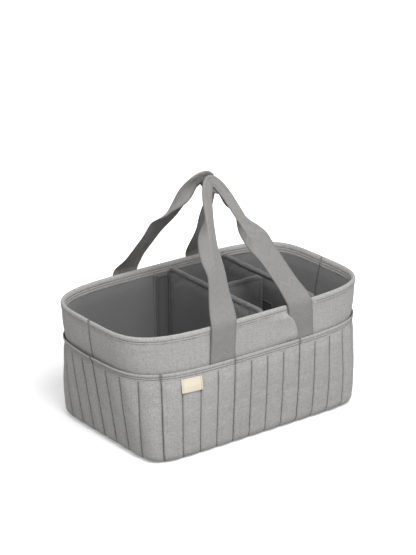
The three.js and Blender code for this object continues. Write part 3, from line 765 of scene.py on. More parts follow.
# %% Hem
HEM_SECTION = np.array([
    (3.4, 126.4), (4.0, 127.2), (4.4, 128.4), (4.6, 129.8), (4.5, 130.8), (3.95, 131.4), (4.5, 132.0),
    (4.75, 133.2), (4.65, 134.4), (4.1, 135.0), (4.6, 135.6), (4.8, 136.8), (4.7, 138.2), (4.35, 139.4),
    (3.9, 140.0), (3.4, 139.8), (3.1, 138.8), (2.9, 137.0), (2.6, 133.0), (2.5, 129.0), (2.6, 126.4),
])
HEM_STITCHES = [(3.95, 131.4), (4.1, 135.0)]
HEM_OUTER = 15
DENT_WIDTH, DENT_DEPTH = 2.2, 1.1
GAPE, GAPE_REACH, SAG, SAG_REACH = 2.8, 80.0, 1.4, 28.0
for side, half in HALVES:
    shares = half_shares(half, BAND_STEP)
    dent = seam_dents(shares, DENT_WIDTH)
    middle = wall(shares, 5.0, 134.0)[0]
    ripple = 0.35 * cloudy_at(middle, 17.0, 8.3) + 0.2 * cloudy_at(middle, 6.0, 1.7)
    outer_side = np.where(np.arange(len(HEM_SECTION)) < HEM_OUTER, 1.0, 0.0)
    gape = GAPE * bell(from_end(shares), GAPE_REACH)
    nudge = (ripple - DENT_DEPTH * dent)[:, None] * outer_side[None, :]
    nudge = nudge + gape[:, None] * smooth(HEM_SECTION[:, 1], 129.0, 139.0)[None, :]
    rings, outs, uv = carried_round(shares, HEM_SECTION, nudge)
    rings[..., 2] -= (SAG * bell((half + 0.5 - shares) * ROUND, SAG_REACH))[:, None]
    # Painted shade: the seam tone darkens the two stitch lines and the dents at the divisions.
    seam = np.maximum(at_points(HEM_SECTION, HEM_STITCHES)[None, :], dent[:, None])
    piece = tube(side + "_pocket_hem_band", rings, uv, seam)
    settle(piece, canvas, "basket", "canvas", side + "_pocket_hem")
    for spot in HEM_STITCHES:
        k = [tuple(p) for p in HEM_SECTION].index(spot)
        sew("hem_" + side, rings[:, k], outs[:, k])
    for start in half + BAY_STARTS[1:-1]:
        column = np.abs(shares - start).argmin()
        sew("hem_" + side, rings[column, 2:HEM_OUTER], outs[column, 2:HEM_OUTER])

# %% [markdown]
# ## Walls and lining
# Between the hem and the rim the wall shows plain: canvas drawn over foam, with one upright
# seam in the middle of each end. Inside, a darker lining hangs on the same foam, which thins
# towards the rim. The foam never shows, but it is there: four slabs.

# %% Foam
FOAM_GAP, FOAM_TOP = 1.9, 190.5
LINING_DEPTH, RIM_THINNING, THINS_BETWEEN = 8.0, 2.6, (165.0, 190.0)


def lining_offset(z):
    return -LINING_DEPTH + RIM_THINNING * smooth(z, *THINS_BETWEEN)


FOAM = [("left", -0.13, 0.13), ("front", 0.13, 0.37), ("right", 0.37, 0.63), ("rear", 0.63, 0.87)]
for side, first, last in FOAM:
    s, z = grid_of(np.linspace(first, last, 60), np.linspace(WALL_FOOT + 0.5, FOAM_TOP, 30))
    outer, inner = wall(s, -FOAM_GAP, z)[0], wall(s, lining_offset(z) + FOAM_GAP, z)[0]
    piece = shell(side + "_foam", outer, inner, stacked(s * ROUND, z), 0.0 * z)
    settle(piece, foam_sheet, "basket", "foam", side + "_padding")

# %% [markdown]
# Canvas and lining are sheets stretched over the padding, so they get only the shallow
# unevenness that cloth on foam has, small gathers under the rim stitching, and a sunk edge
# at the end seams. Beside the right front strap, which pulls the wall in, the canvas stands
# out and laps over the strap's edge.

# %% Canvas and lining
WALL_ROWS = np.concatenate([[WALL_FOOT, 5.0, 14.0, 45.0, 84.0, 118.0], np.linspace(126.0, WALL_TOP, 28)])
LINING_ROWS = np.concatenate([[WALL_FOOT, 6.0, 14.0], np.linspace(24.0, WALL_TOP, 36)])
CLOTH_THICK, END_SEAM_WIDTH = 1.2, 1.6
LAP_OUT, LAP_REACH, LAP_X, LAP_LEAN = 5.0, 24.0, 63.0, 22.0
LAP_RISES, LAP_LEANS, LAP_ENDS = (136.0, 148.0), (142.0, 188.0), (178.0, 190.0)
GATHER_TOP, GATHER_REACH = 188.0, 9.0
PLUMP, PLUMP_FOOT, PLUMP_RUN = 2.4, 118.0, 70.0


def end_seam(shares, width):
    return np.exp(-from_end(shares) / width)


def lap_at(x, z):
    """How far the front canvas stands out beside the right strap."""
    low, high = LAP_LEANS
    edge = LAP_X - LAP_LEAN * np.clip((z - low) / (high - low), 0.0, 1.0) ** 2.5
    beside = bell(x - edge, LAP_REACH) * (1.0 - smooth(x, edge - 1.5, edge + 2.5))
    return LAP_OUT * beside * smooth(z, *LAP_RISES) * (1.0 - smooth(z, *LAP_ENDS))


def stretch(piece, side, material, slot, node):
    """Settles a sheet that is stretched over the foam of its side."""
    settle(piece, material, "basket", slot, node)


def wall_canvas(side, half):
    s, z = grid_of(half_shares(half, 1.8), WALL_ROWS)
    flat, outs = wall(s, 0.0, z)
    sunk = end_seam(s, END_SEAM_WIDTH)
    under_rim = np.exp(-(GATHER_TOP - np.minimum(z, GATHER_TOP)) / GATHER_REACH)
    gathers = under_rim * cloudy_at(flat * [1, 1, 0.25], 5.5, 4.2)
    uneven = -0.45 * np.abs(cloudy_at(flat, 38.0, 12.6)) - 0.3 * gathers - sunk
    plump = np.sin(np.pi * np.clip((z - PLUMP_FOOT) / PLUMP_RUN, 0.0, 1.0)) * np.abs(outs[..., 0])
    lap = lap_at(flat[..., 0], z) if side == "front" else 0.0
    front = flat + outs * (uneven + PLUMP * plump + lap)[..., None]
    back, _ = wall(s, -CLOTH_THICK - 0.6 * sunk, z)
    # Painted shade: the seam tone darkens the sunk end seam.
    piece = shell(side + "_wall_canvas", front, back, stacked(s * ROUND, z), sunk)
    stretch(piece, side, canvas, "canvas", side + "_cover")


def wall_lining(side, half):
    s, z = grid_of(half_shares(half, 3.6), LINING_ROWS)
    flat, outs = wall(s, lining_offset(z), z)
    sunk = end_seam(s, END_SEAM_WIDTH)
    slack = 0.55 * np.abs(cloudy_at(flat * [1, 1, 0.6], 30.0, 21.4)) + 0.5 * sunk
    front, _ = wall(s, lining_offset(z) + CLOTH_THICK, z)
    back = flat + outs * slack[..., None]
    # Painted shade: the seam tone darkens the sunk end seam.
    piece = shell(side + "_lining_cloth", front, back, stacked(s * ROUND, z), sunk)
    stretch(piece, side, inner_cloth, "lining", side + "_lining")


for side, half in HALVES:
    wall_canvas(side, half)
    wall_lining(side, half)

# %% [markdown]
# ## Rim
# At the top the cloth turns over the wall's thinned edge and is topstitched twice, seven and
# eleven millimetres down, so the rim reads as a clean edge with two fine lines under it.
# The section is drawn with those two dents and carried round; gathers between the stitches
# come from a little noise along it.

# %% Rim binding
RIM_SECTION = np.array([
    (-0.9, 181.0), (-0.2, 183.0), (0.25, 184.6), (0.3, 185.5), (-0.2, 186.2), (0.35, 186.9), (0.6, 188.1),
    (0.5, 189.3), (-0.1, 190.0), (0.5, 190.7), (0.55, 192.2), (0.3, 193.8), (-0.3, 195.3), (-1.3, 196.5),
    (-2.7, 197.0), (-4.0, 196.5), (-5.0, 195.3), (-5.7, 193.8), (-6.0, 192.2), (-6.05, 190.7), (-5.65, 190.0),
    (-6.1, 189.3), (-6.2, 188.1), (-6.2, 186.9), (-5.8, 186.2), (-6.25, 185.5), (-6.3, 184.6), (-6.2, 183.0),
    (-5.7, 181.0), (-5.45, 184.0), (-5.45, 191.9), (0.05, 191.9), (0.05, 184.0),
])
RIM_STITCHES = [(-0.2, 186.2), (-0.1, 190.0), (-5.65, 190.0), (-5.8, 186.2)]
RIM_MIDDLE, RIM_CREST = -2.7, 195.0
RIM_SEAM_WIDTH, RIM_SINK, RIM_DIP = 1.8, 1.2, 0.9
RIM_INNER = slice(-4, None)  # the points that lie against the wall
for side, half in HALVES:
    shares = half_shares(half, BAND_STEP)
    middle = wall(shares, 0.0, 194.0)[0]
    ripple = 0.3 * cloudy_at(middle, 15.0, 31.0) + 0.22 * cloudy_at(middle, 5.0, 2.2)
    sunk = end_seam(shares, RIM_SEAM_WIDTH)
    away = np.where(RIM_SECTION[:, 0] > RIM_MIDDLE, 1.0, -1.0)
    away[RIM_INNER] = 0.0
    nudge = (ripple - RIM_SINK * sunk)[:, None] * away[None, :]
    rings, outs, uv = carried_round(shares, RIM_SECTION, nudge)
    rings[..., 2] -= (RIM_DIP * sunk)[:, None] * (RIM_SECTION[:, 1] > RIM_CREST)[None, :]
    # Painted shade: the seam tone darkens the four stitch lines and the sunk end seams.
    seam = np.maximum(at_points(RIM_SECTION, RIM_STITCHES)[None, :], sunk[:, None])
    piece = tube(side + "_rim_roll", rings, uv, seam)
    settle(piece, canvas, "basket", "canvas", side + "_rim_binding")
    for spot in RIM_STITCHES:
        k = [tuple(p) for p in RIM_SECTION].index(spot)
        facing = outs[:, k] if spot[0] > RIM_MIDDLE else -outs[:, k]
        sew("rim_" + side, rings[:, k], facing)

# %% [markdown]
# ## Base
# The floor inside is a lined board, laid loose, with its cloth turned over the edge and
# stitched. Underneath, a plain canvas panel closes the caddy. Both are the outline filled
# in: rings of points from the middle to the edge, a front grid and a back grid.

# %% Floor lining and underside
FLOOR_INSET, UNDERSIDE_OUT = 8.3, 2.6
PANEL_REACH, PANEL_RINGS, PANEL_STITCH = 120.0, 14, 6.0
STITCH_DIP, EDGE_DIP, BACK_DIP, EDGE_ROUND = 0.45, 0.6, 0.3, 0.7
PANEL_EDGE = [10.0, 8.0, 6.6, PANEL_STITCH, 5.4, 4.0, 2.5, 1.2, 0.4, 0.0]


def filled_outline(offset):
    """Rings of points from the middle to the outline, and each point's distance from it."""
    border, _ = wall(np.linspace(0.0, 1.0, 241), offset, WALL_FOOT)
    inner = np.linspace(0.02, 0.9, PANEL_RINGS)
    reach = np.concatenate([inner, 1.0 - np.array(PANEL_EDGE) / PANEL_REACH])
    grid = border[:, None, :] * reach[None, :, None]
    return grid, np.broadcast_to(((1.0 - reach) * PANEL_REACH)[None, :], grid.shape[:2])


def laid_panel(name, offset, low, high, crown, stitched_on_top):
    grid, from_edge = filled_outline(offset)
    at_edge = np.exp(-from_edge / EDGE_ROUND)
    dip = STITCH_DIP * bell(from_edge - PANEL_STITCH, 1.0) + EDGE_DIP * at_edge
    rounded = BACK_DIP * at_edge
    uneven = crown * np.abs(cloudy_at(grid, 45.0, 7.7)) * smooth(from_edge, PANEL_STITCH, 20.0)
    top, bottom = grid.copy(), grid.copy()
    top[..., 2] = high - (dip + uneven if stitched_on_top else rounded)
    bottom[..., 2] = low + (rounded if stitched_on_top else dip)
    # Painted shade: the seam tone darkens the line of stitching round the edge.
    piece = shell(name, top, bottom, grid[..., :2], bell(from_edge - PANEL_STITCH, 1.2))
    row = PANEL_RINGS + PANEL_EDGE.index(PANEL_STITCH)
    facing = 1.0 if stitched_on_top else -1.0
    sew(name, (top if stitched_on_top else bottom)[:, row], [0.0, 0.0, facing])
    return piece


floor_cloth = laid_panel("floor_lining_cloth", -FLOOR_INSET, low=4.8, high=6.0, crown=0.35,
                         stitched_on_top=True)
settle(floor_cloth, inner_cloth, "basket", "lining", "base_lining")
underside = laid_panel("underside_canvas", UNDERSIDE_OUT, low=0.0, high=1.2, crown=0.0,
                       stitched_on_top=False)
settle(underside, canvas, "basket", "canvas", "base_cover")

# %% [markdown]
# ## Padded dividers
# Three stiffly padded panels split the inside. Each is foam in a cloth sleeve, sewn round
# its edge and topstitched a little way in, so the middle stands up and the border is drawn
# down. The panel starts as two grids that meet at the edge seam, and the cloth simulation
# swells it between the seam and the stitching.

# %% Divider grid
DIVIDER_LOW, DIVIDER_HIGH, DIVIDER_HALF = 6.3, 194.0, 4.0
DIVIDER_STITCH, DIVIDER_GROOVE = 7.0, 0.9
TOP_CORNER, FOOT_CORNER = 12.0, 5.0
PAD_EDGE = np.array([0, 0.5, 1.3, 2.6, 4.2, 5.8, DIVIDER_STITCH, 8.2, 10.5])


def rounded_reach(half_width, z):
    """Half width of a divider at a height, with rounded top corners."""
    reach = half_width(np.clip(z, DIVIDER_LOW, DIVIDER_HIGH - TOP_CORNER))
    over = np.clip(z - (DIVIDER_HIGH - TOP_CORNER), 0.0, TOP_CORNER)
    return reach - TOP_CORNER + np.sqrt(TOP_CORNER**2 - over * over)


def divider_grid(half_width):
    z = np.concatenate([DIVIDER_LOW + PAD_EDGE, np.linspace(DIVIDER_LOW + 14.5, DIVIDER_HIGH - 14.5, 40),
                        DIVIDER_HIGH - PAD_EDGE[::-1]])
    under = np.clip(DIVIDER_LOW + FOOT_CORNER - z, 0.0, FOOT_CORNER)
    reach = rounded_reach(half_width, z) - FOOT_CORNER + np.sqrt(FOOT_CORNER**2 - under * under)
    columns = max(12, int(2 * half_width(100.0) / 4.6) - 8)
    y = []
    for r in reach:
        inner = np.linspace(-(r - 14.0), r - 14.0, columns)
        y.append(np.concatenate([-r + PAD_EDGE, inner, r - PAD_EDGE[::-1]]))
    y = np.array(y).T
    zz = np.broadcast_to(z[None, :], y.shape)
    side = reach[None, :] - np.abs(y)
    from_edge = np.minimum(np.minimum(side, zz - DIVIDER_LOW), DIVIDER_HIGH - zz)
    return y, zz, np.maximum(from_edge, 0.0)


def two_layers(shape):
    """Faces of two grids that share their border, and the points that they use."""
    k = np.arange(shape[0] * shape[1]).reshape(shape)
    twin = k + k.size
    rim = np.ones(shape, bool)
    rim[1:-1, 1:-1] = False
    twin[rim] = k[rim]
    faces = grid_faces(*shape)
    faces = faces + [tuple(twin.ravel()[i] for i in reversed(f)) for f in faces]
    used, index = np.unique(np.array(faces), return_inverse=True)
    return [tuple(f) for f in index.reshape(-1, 4)], used

# %% [markdown]
# One pad: its two layers are pinned along the edge seam and the topstitching, and swollen.
# The line of stitches is noted for both faces.

# %% Divider pad
EDGE_ROLL, PAD_CROWN = 4.5, 0.9


def divider_pad(name, half_width, place):
    y, z, from_edge = divider_grid(half_width)
    part = np.clip(from_edge / EDGE_ROLL, 0.0, 1.0)
    thick = DIVIDER_HALF * np.sqrt(part * (2.0 - part))
    thick += PAD_CROWN * smooth(from_edge, 8.0, 50.0) - bell(from_edge - DIVIDER_STITCH, 1.3)
    grid = stacked(y, z)
    faces, used = two_layers(y.shape)
    layers = [place(grid, thick).reshape(-1, 3), place(grid, -thick).reshape(-1, 3)]
    points = np.concatenate(layers)[used]
    faces = outside_out(points, faces)
    near = np.concatenate([from_edge.ravel(), from_edge.ravel()])[used]
    held = (near < 0.3) | (np.abs(near - DIVIDER_STITCH) < 0.8)
    swollen = inflate(points, faces, np.flatnonzero(held), pressure=4.0, growth=0.012, most=1.4)
    flat = np.concatenate([grid.reshape(-1, 2), grid.reshape(-1, 2) + [300.0, 0.0]])[used]
    # Painted shade: the seam tone darkens the groove of the topstitching.
    seam = np.exp(-np.abs(near - DIVIDER_STITCH) / 1.2)
    piece = make_piece(name + "_pad", swollen, faces, flat, seam)
    settle(piece, inner_cloth, name, "lining", name + "_sleeve", name + "_core")
    border = stitch_border(half_width)
    depth = np.full(len(border), DIVIDER_HALF - DIVIDER_GROOVE + 0.1)
    out = place(np.zeros((1, 2)), np.array([1.0]))[0] - place(np.zeros((1, 2)), np.array([0.0]))[0]
    sew(name, place(border, depth), out)
    sew(name, place(border, -depth), -out)


def stitch_border(half_width):
    """The line of topstitching round a divider, just inside its edge."""
    z = np.linspace(DIVIDER_LOW + DIVIDER_STITCH, DIVIDER_HIGH - DIVIDER_STITCH, 90)
    reach = rounded_reach(half_width, z) - DIVIDER_STITCH
    top = np.linspace(reach[-1], -reach[-1], 60)[1:-1]
    bottom = np.linspace(-reach[0], reach[0], 60)[1:]
    y = np.concatenate([reach, top, -reach[::-1], bottom])
    up = np.concatenate([z, np.full_like(top, z[-1]), z[::-1], np.full_like(bottom, z[0])])
    return stacked(y, up)

# %% [markdown]
# Two dividers run across the caddy, as wide as the lining leaves room at each height. The
# lengthwise one fills the gap between them, less the hook and loop tape at its ends.

# %% The three dividers
CENTRE_X, END_X, LENGTHWISE_Y = 10.0, 110.0, 3.0
LINING_GAP = 11.9


def across_divider(name, x):
    def half_width(z):
        return side_reach(x + DIVIDER_HALF, z) - LINING_GAP

    def place(grid, depth):
        return stacked(x + depth, grid[..., 0], grid[..., 1])

    divider_pad(name, half_width, place)


def lengthwise_divider(start, end):
    def half_width(z):
        return (end - start) / 2 + 0.0 * z

    def place(grid, depth):
        return stacked((start + end) / 2 + grid[..., 0], LENGTHWISE_Y + depth, grid[..., 1])

    divider_pad("lengthwise_divider", half_width, place)


TAPE_GAP, TAB_THICK, FACE_PILE_THICK = 0.3, 1.6, 1.4
TAPE_STACK = DIVIDER_HALF + TAPE_GAP + FACE_PILE_THICK + TAPE_GAP + TAB_THICK + TAPE_GAP
LENGTH_START, LENGTH_END = CENTRE_X + TAPE_STACK, END_X - TAPE_STACK
across_divider("centre_divider", CENTRE_X)
across_divider("end_divider", END_X)
lengthwise_divider(LENGTH_START, LENGTH_END)

# %% [markdown]
# ## Hook tabs and loop strips
# The dividers hold by hook tape: a dark tab turns off each end and presses on a strip of
# loop pile sewn to the lining or to the next divider. Only the woven back of the hook tape
# shows. All are flat strips with rounded corners, so one helper makes them: a grid whose
# rows shorten towards the corners, thinned at its edge, laid where a placing rule says.

# %% Tape strips
TAPE_EDGE = np.array([0.0, 0.35, 0.9, 1.8, 3.0])
TAPE_STITCH, TAPE_GROOVE, TAPE_ROLL, TAPE_THIN = 3.0, 0.25, 0.9, 0.35


def tape_grid(width, length, corner):
    """Places across and along a strip with rounded corners, and their distance from its edge."""
    middle = np.linspace(5.0, length - 5.0, max(6, int(length / 4)))
    v = np.concatenate([TAPE_EDGE, middle, length - TAPE_EDGE[::-1]])
    near_end = np.minimum(v, length - v)
    rounding = np.sqrt(np.maximum(0.0, corner**2 - (corner - near_end) ** 2))
    half = width / 2 - np.where(near_end < corner, corner - rounding, 0.0)
    u = []
    for h in half:
        u.append(np.concatenate([-h + TAPE_EDGE, np.linspace(-h + 4.5, h - 4.5, 8), h - TAPE_EDGE[::-1]]))
    u = np.array(u).T
    from_edge = np.minimum(half[None, :] - np.abs(u), near_end[None, :])
    return u, np.broadcast_to(v[None, :], u.shape), from_edge


def tape(name, width, length, thick, corner, place, pillow):
    u, v, from_edge = tape_grid(width, length, corner)
    rolled = np.sqrt(np.clip(from_edge / TAPE_ROLL, 0.0, 1.0))
    lift = thick * (TAPE_THIN + (1.0 - TAPE_THIN) * rolled)
    lift = lift - TAPE_GROOVE * bell(from_edge - TAPE_STITCH, 0.8)
    lift = lift + pillow * cloudy_at(stacked(u, v, 0 * u), 9.0, 5.5) * (from_edge > 1.0)
    # Painted shade: the seam tone darkens the groove of the stitching round the strip.
    seam = bell(from_edge - TAPE_STITCH, 0.9)
    piece = shell(name, place(u, v, lift), place(u, v, np.zeros_like(u)), stacked(u, v), seam)

    def stitch(u, v):
        flat = place(u, v, np.full_like(u, thick - TAPE_GROOVE))
        outs = place(u, v, np.full_like(u, thick)) - flat
        sew(name, flat, outs / np.linalg.norm(outs, axis=1, keepdims=True))

    aside = width / 2 - TAPE_STITCH
    along = np.linspace(TAPE_STITCH + corner / 2, length - TAPE_STITCH - corner / 2, 60)
    across = np.linspace(-aside + corner / 2, aside - corner / 2, 12)
    for edge in (aside, -aside):
        stitch(np.full_like(along, edge), along)
    for end in (TAPE_STITCH, length - TAPE_STITCH):
        stitch(across, np.full_like(across, end))
    return piece

# %% [markdown]
# Each divider across has a tab at both ends, which turns along the long wall over a wider
# strip of pile. The lengthwise divider's tabs press on the two dividers beside it, so the
# strips there are sewn to those dividers and move with them.

# %% Tabs and strips
TAB_WIDTH, TAB_CORNER, PILE_WIDTH, PILE_CORNER = 28.0, 5.0, 36.0, 2.0
PILE_THICK, PILE_NAP, PILE_MARGIN, PILE_HIGH = 1.25, 0.12, 4.0, 182.4
TAB_OFFSET, PILE_OFFSET = -10.0, -8.45
TAB_LOW, TAB_HIGH = DIVIDER_LOW + 14.0, DIVIDER_HIGH - 14.0
LENGTH_TAB_HIGH = DIVIDER_HIGH - 42.0
PILE_LOW = TAB_LOW - PILE_MARGIN


def hook_tab(name, high, place, body, node):
    tab = tape(name, TAB_WIDTH, high - TAB_LOW, TAB_THICK, TAB_CORNER, place, 0.0)
    settle(tab, hook_backing, body, "hook_tape", node)


def pile_strip(name, length, thick, place, body, node):
    strip = tape(name, PILE_WIDTH, length, thick, PILE_CORNER, place, PILE_NAP)
    settle(strip, loop_pile, body, "loop_tape", node)


def along_side(x_middle, z_low, offset, side):
    """Places a strip on the inside of a long wall, its upper face towards the middle."""
    sign = 1.0 if side == "rear" else -1.0

    def place(u, v, lift):
        x, z = x_middle + u, z_low + v
        return stacked(x, sign * (side_reach(x, z) + offset - lift), z)

    return place


def facing_along(x, turn, y, z_low):
    """Places a strip upright across the caddy's length, its upper face turned along it."""
    def place(u, v, lift):
        return stacked(x + turn * lift, y + u, z_low + v)

    return place


for name, x, turn in [("centre_divider", CENTRE_X, -1.0), ("end_divider", END_X, 1.0)]:
    near = x - turn * DIVIDER_HALF
    far = near + turn * TAB_WIDTH
    middle = (near + far) / 2
    for side in ("front", "rear"):
        start = "%s_%s_" % (name, side)
        hook_tab(start + "hook_tab", TAB_HIGH, along_side(middle, TAB_LOW, TAB_OFFSET, side),
                 name, start + "tab")
        pile_strip(start + "loop_pile", PILE_HIGH - PILE_LOW, PILE_THICK,
                   along_side(middle, PILE_LOW, PILE_OFFSET, side), "basket", start + "loop_strip")

tab_y = LENGTHWISE_Y + DIVIDER_HALF - TAB_WIDTH / 2
for side, face, turn, owner in [
    ("left", LENGTH_START, -1.0, "centre_divider"),
    ("right", LENGTH_END, 1.0, "end_divider"),
]:
    tab_top = face + turn * TAPE_GAP + turn * TAB_THICK
    pile_back = face + turn * (TAPE_GAP + TAB_THICK + TAPE_GAP + FACE_PILE_THICK)
    start = "lengthwise_divider_" + side
    hook_tab(start + "_hook_tab", LENGTH_TAB_HIGH, facing_along(tab_top, -turn, tab_y, TAB_LOW),
             "lengthwise_divider", start + "_tab")
    pile_strip(owner + "_face_loop_pile", LENGTH_TAB_HIGH - TAB_LOW + 2 * PILE_MARGIN, FACE_PILE_THICK,
               facing_along(pile_back, -turn, tab_y, PILE_LOW), owner, owner + "_face_loop_strip")

# %% [markdown]
# ## Webbing handles
# Each handle is one long strap: sewn to the wall behind the pocket, up past the hem, over
# the rim, and across to the other leg. Near the top the front strap's two sides are folded
# under, one over the other, and the rear strap is folded in half, which makes a narrow grip.
# The straps are modelled directly, because a simulation would lose their flat edges. The
# path comes first: up the wall, over the rim on a short curve, straight up the slope, and
# over to the other leg on one wide curve whose middle is the grip.

# %% Strap path
STRAP_HALF, STRAP_THICK = 22.5, 1.8
HANDLE_X, FOLD_HEIGHT, BEND_HEIGHT = 75.0, 148.0, 199.0
WALL_GAP, RIM_GAP, FOLD_LIFT = 1.2, 3.8, 0.3
ARCH_START, BEND_BEFORE, BEND_AFTER = 0.74, 0.2, 0.05
PATH_STEPS = 281


def between(a, b, t):
    return np.asarray(a) * (1.0 - t) + np.asarray(b) * t


def bent(a, b, c, t):
    return (1.0 - t) ** 2 * a + 2.0 * t * (1.0 - t) * b + t**2 * c


def handle_path(grip, rim_shifts, arch_shifts):
    """Centre line, shares of the way, lean of the slope and length of a strap at the front."""
    inner_x = HANDLE_X - STRAP_HALF
    t = np.linspace(0.0, 1.0, 400)[:, None]
    legs = []
    for x, shift, arch_shift in zip((-HANDLE_X, HANDLE_X), rim_shifts, arch_shifts):
        wall_y, rim_y = -side_reach(inner_x, FOLD_HEIGHT) - WALL_GAP, -side_reach(inner_x, HEIGHT) - RIM_GAP
        foot = np.array([x + 0.3 * shift, wall_y, FOLD_HEIGHT + FOLD_LIFT])
        bend = np.array([x + shift, rim_y, BEND_HEIGHT])
        peak = between(bend, grip, 2.0 / (1.0 + ARCH_START))
        peak[0] = grip[0]
        arch, before = between(bend, peak, ARCH_START), between(bend, foot, BEND_BEFORE)
        arch[0] += arch_shift
        after = between(bend, arch, BEND_AFTER)
        over_rim = bent(before, bend, after, t)
        legs.append(np.concatenate([between(foot, before, t), over_rim[1:], between(after, arch, t)[1:]]))
    crown = bent(legs[0][-1], peak, legs[1][-1], t)
    line = np.concatenate([legs[0], crown[1:], legs[1][::-1][1:]])
    walked = walked_along(line)
    goal = np.linspace(0.0, walked[-1], PATH_STEPS)
    points = stacked(*(np.interp(goal, walked, line[:, k]) for k in range(3)))
    lean = np.cross([0.0, peak[1] - bend[1], peak[2] - bend[2]], [1.0, 0.0, 0.0])
    lean *= -np.sign(lean[1]) / np.linalg.norm(lean)
    return points, goal / walked[-1], lean, walked[-1]

# %% [markdown]
# Across, the strap is a flat ribbon. It is bent at two fold lines by angles that grow on
# the way up: each fold first stands as a gutter and is then laid right under.

# %% Strap section
GUTTER, LAID_UNDER = math.radians(62.0), math.radians(118.0)


def ribbon_places(folds):
    """Places across the flat ribbon, closer together where it is folded."""
    (upper, upper_radius), (lower, lower_radius) = folds
    stops = [-STRAP_HALF, -upper - 3.2 * upper_radius, -upper]
    stops += [lower, lower + 3.2 * lower_radius, STRAP_HALF]
    runs = [np.linspace(a, b, 7, endpoint=False) for a, b in zip(stops, stops[1:])]
    return np.concatenate(runs + [[STRAP_HALF]])


def ribbon_section(places, folds, angles):
    """The ribbon's middle line, across and out of its face, with its sides turned under."""
    across, face, turn = places.copy(), np.zeros(len(places)), np.zeros(len(places))
    for side, (line, radius), angle in zip((-1.0, 1.0), folds, angles):
        here = side * places > line
        run = side * places[here] - line
        turned = np.clip(run / radius, 0.0, angle)
        rest = run - radius * turned
        across[here] = side * (line + radius * np.sin(turned) + rest * np.cos(turned))
        face[here] = -radius * (1.0 - np.cos(turned)) - rest * np.sin(turned)
        turn[here] = side * turned
    return across, face, stacked(np.sin(turn), np.cos(turn))


def fold_angle(near_top, start, gutter, end):
    """Angle of a fold, in radians: first bent to a gutter, then laid right under."""
    first, second = smooth(near_top, start, gutter), smooth(near_top, gutter - 0.04, end)
    return GUTTER * first + LAID_UNDER * second

# %% [markdown]
# The ribbon is then carried along the path. Webbing is never folded quite evenly, so each
# leg has its own timing and is turned a little about its own line. Below the rim the
# ribbon is pressed to the wall.

# %% Carry the ribbon along
FOLD_STARTS, FOLD_ENDS = 0.62, 0.9
TURN_FADE, GRIP_SPAN, FULLY_FOLDED = 43.0, (0.42, 0.58), 0.98
PRESSED_BELOW, FREE_ABOVE = 149.0, 170.0
LEANS_BETWEEN = BEND_HEIGHT - 11.0, BEND_HEIGHT + 9.0
SELVEDGE, SELVEDGE_THIN = 0.8, 0.55


def turned_about(line, across, face, degrees):
    turn = math.radians(degrees)
    across = across * math.cos(turn) + face * math.sin(turn)
    return across, np.cross(across, line)


def strap_rings(path, plan):
    """Rings round the ribbon along its path, with UV map, seam tone and the grip's frames."""
    points, shares, lean, length = path
    tangents = np.gradient(points, axis=0)
    tangents /= np.linalg.norm(tangents, axis=1, keepdims=True)
    places = ribbon_places(plan["folds"])
    inward, outward = plan["centring"]
    rings, uvs, grip = [], [], []
    for centre, tangent, share in zip(points, tangents, shares):
        near_top, z, leg = 1.0 - abs(2.0 * share - 1.0), centre[2], int(share > 0.5)
        face = between([0.0, -1.0, 0.0], lean, smooth(z, *LEANS_BETWEEN))
        face = face - tangent * np.dot(face, tangent)
        face /= np.linalg.norm(face)
        folded = smooth(near_top, FOLD_STARTS, FOLD_ENDS)
        most, full, fading = plan["turns"][leg]
        degrees = most * smooth(z, BEND_HEIGHT, full) * (1.0 - smooth(z, fading, fading + TURN_FADE))
        degrees += np.interp(share, GRIP_SPAN, plan["rolls"]) * folded
        across, face = turned_about(tangent, np.cross(tangent, face), face, degrees)
        angles = [fold_angle(near_top, *stops) for stops in plan["timing"][leg]]
        a, f, normal = ribbon_section(places, plan["folds"], angles)
        middle = centre + np.outer(a - inward * folded, across) + np.outer(f + outward * folded, face)
        out = np.outer(normal[:, 0], across) + np.outer(normal[:, 1], face)
        low = 1.0 - smooth(middle[:, 2], PRESSED_BELOW, FREE_ABOVE)
        on_wall = -side_reach(middle[:, 0], middle[:, 2]) - WALL_GAP
        middle[:, 1] = middle[:, 1] * (1.0 - low) + on_wall * low
        thinned = np.where(np.abs(places) > STRAP_HALF - SELVEDGE, SELVEDGE_THIN, 1.0)
        half = STRAP_THICK / 2 * thinned[:, None]
        rings.append(np.concatenate([middle + out * half, (middle - out * half)[::-1]]))
        both = np.concatenate([places, places[::-1]])
        uvs.append(stacked(both, np.full_like(both, share * length)))
        if folded > FULLY_FOLDED:
            grip.append((centre, across, face))
    # Painted shade: the seam tone darkens the ribbon towards both edges.
    edge = np.exp(-(STRAP_HALF - np.abs(places)) / 1.0)
    seams = np.repeat(np.concatenate([edge, edge[::-1]])[None], len(rings), axis=0)
    return np.array(rings), np.array(uvs), seams, grip

# %% [markdown]
# Both ends of a strap go on down the wall behind the pocket, where they are sewn. They lie
# flat there, between the wall's canvas and the quilting.

# %% Sewn ends
ANCHOR_HEIGHTS, ANCHOR_FACES = np.linspace(72.0, 147.0, 12), (2.1, 0.3)


def anchored(rings, uvs, seams):
    """Carries both ends of the strap on down the wall, behind the pocket."""
    count = rings.shape[1] // 2
    off_wall = np.where(np.arange(2 * count) < count, *ANCHOR_FACES)
    for end in (0, -1):
        x = rings[end][:, 0]
        legs, leg_uv = [], []
        for z in ANCHOR_HEIGHTS if end == 0 else ANCHOR_HEIGHTS[::-1]:
            legs.append(stacked(x, -side_reach(x, z) - off_wall, np.full_like(x, z)))
            shift = z - rings[end][:, 2].mean()
            leg_uv.append(uvs[end] + [0.0, shift if end == 0 else -shift])
        extra = np.repeat(seams[end][None], len(legs), axis=0)
        old_and_new = [(rings, legs), (uvs, leg_uv), (seams, extra)]
        if end == 0:
            old_and_new = [(new, old) for old, new in old_and_new]
        rings, uvs, seams = [np.concatenate(pair) for pair in old_and_new]
    return rings, uvs, seams
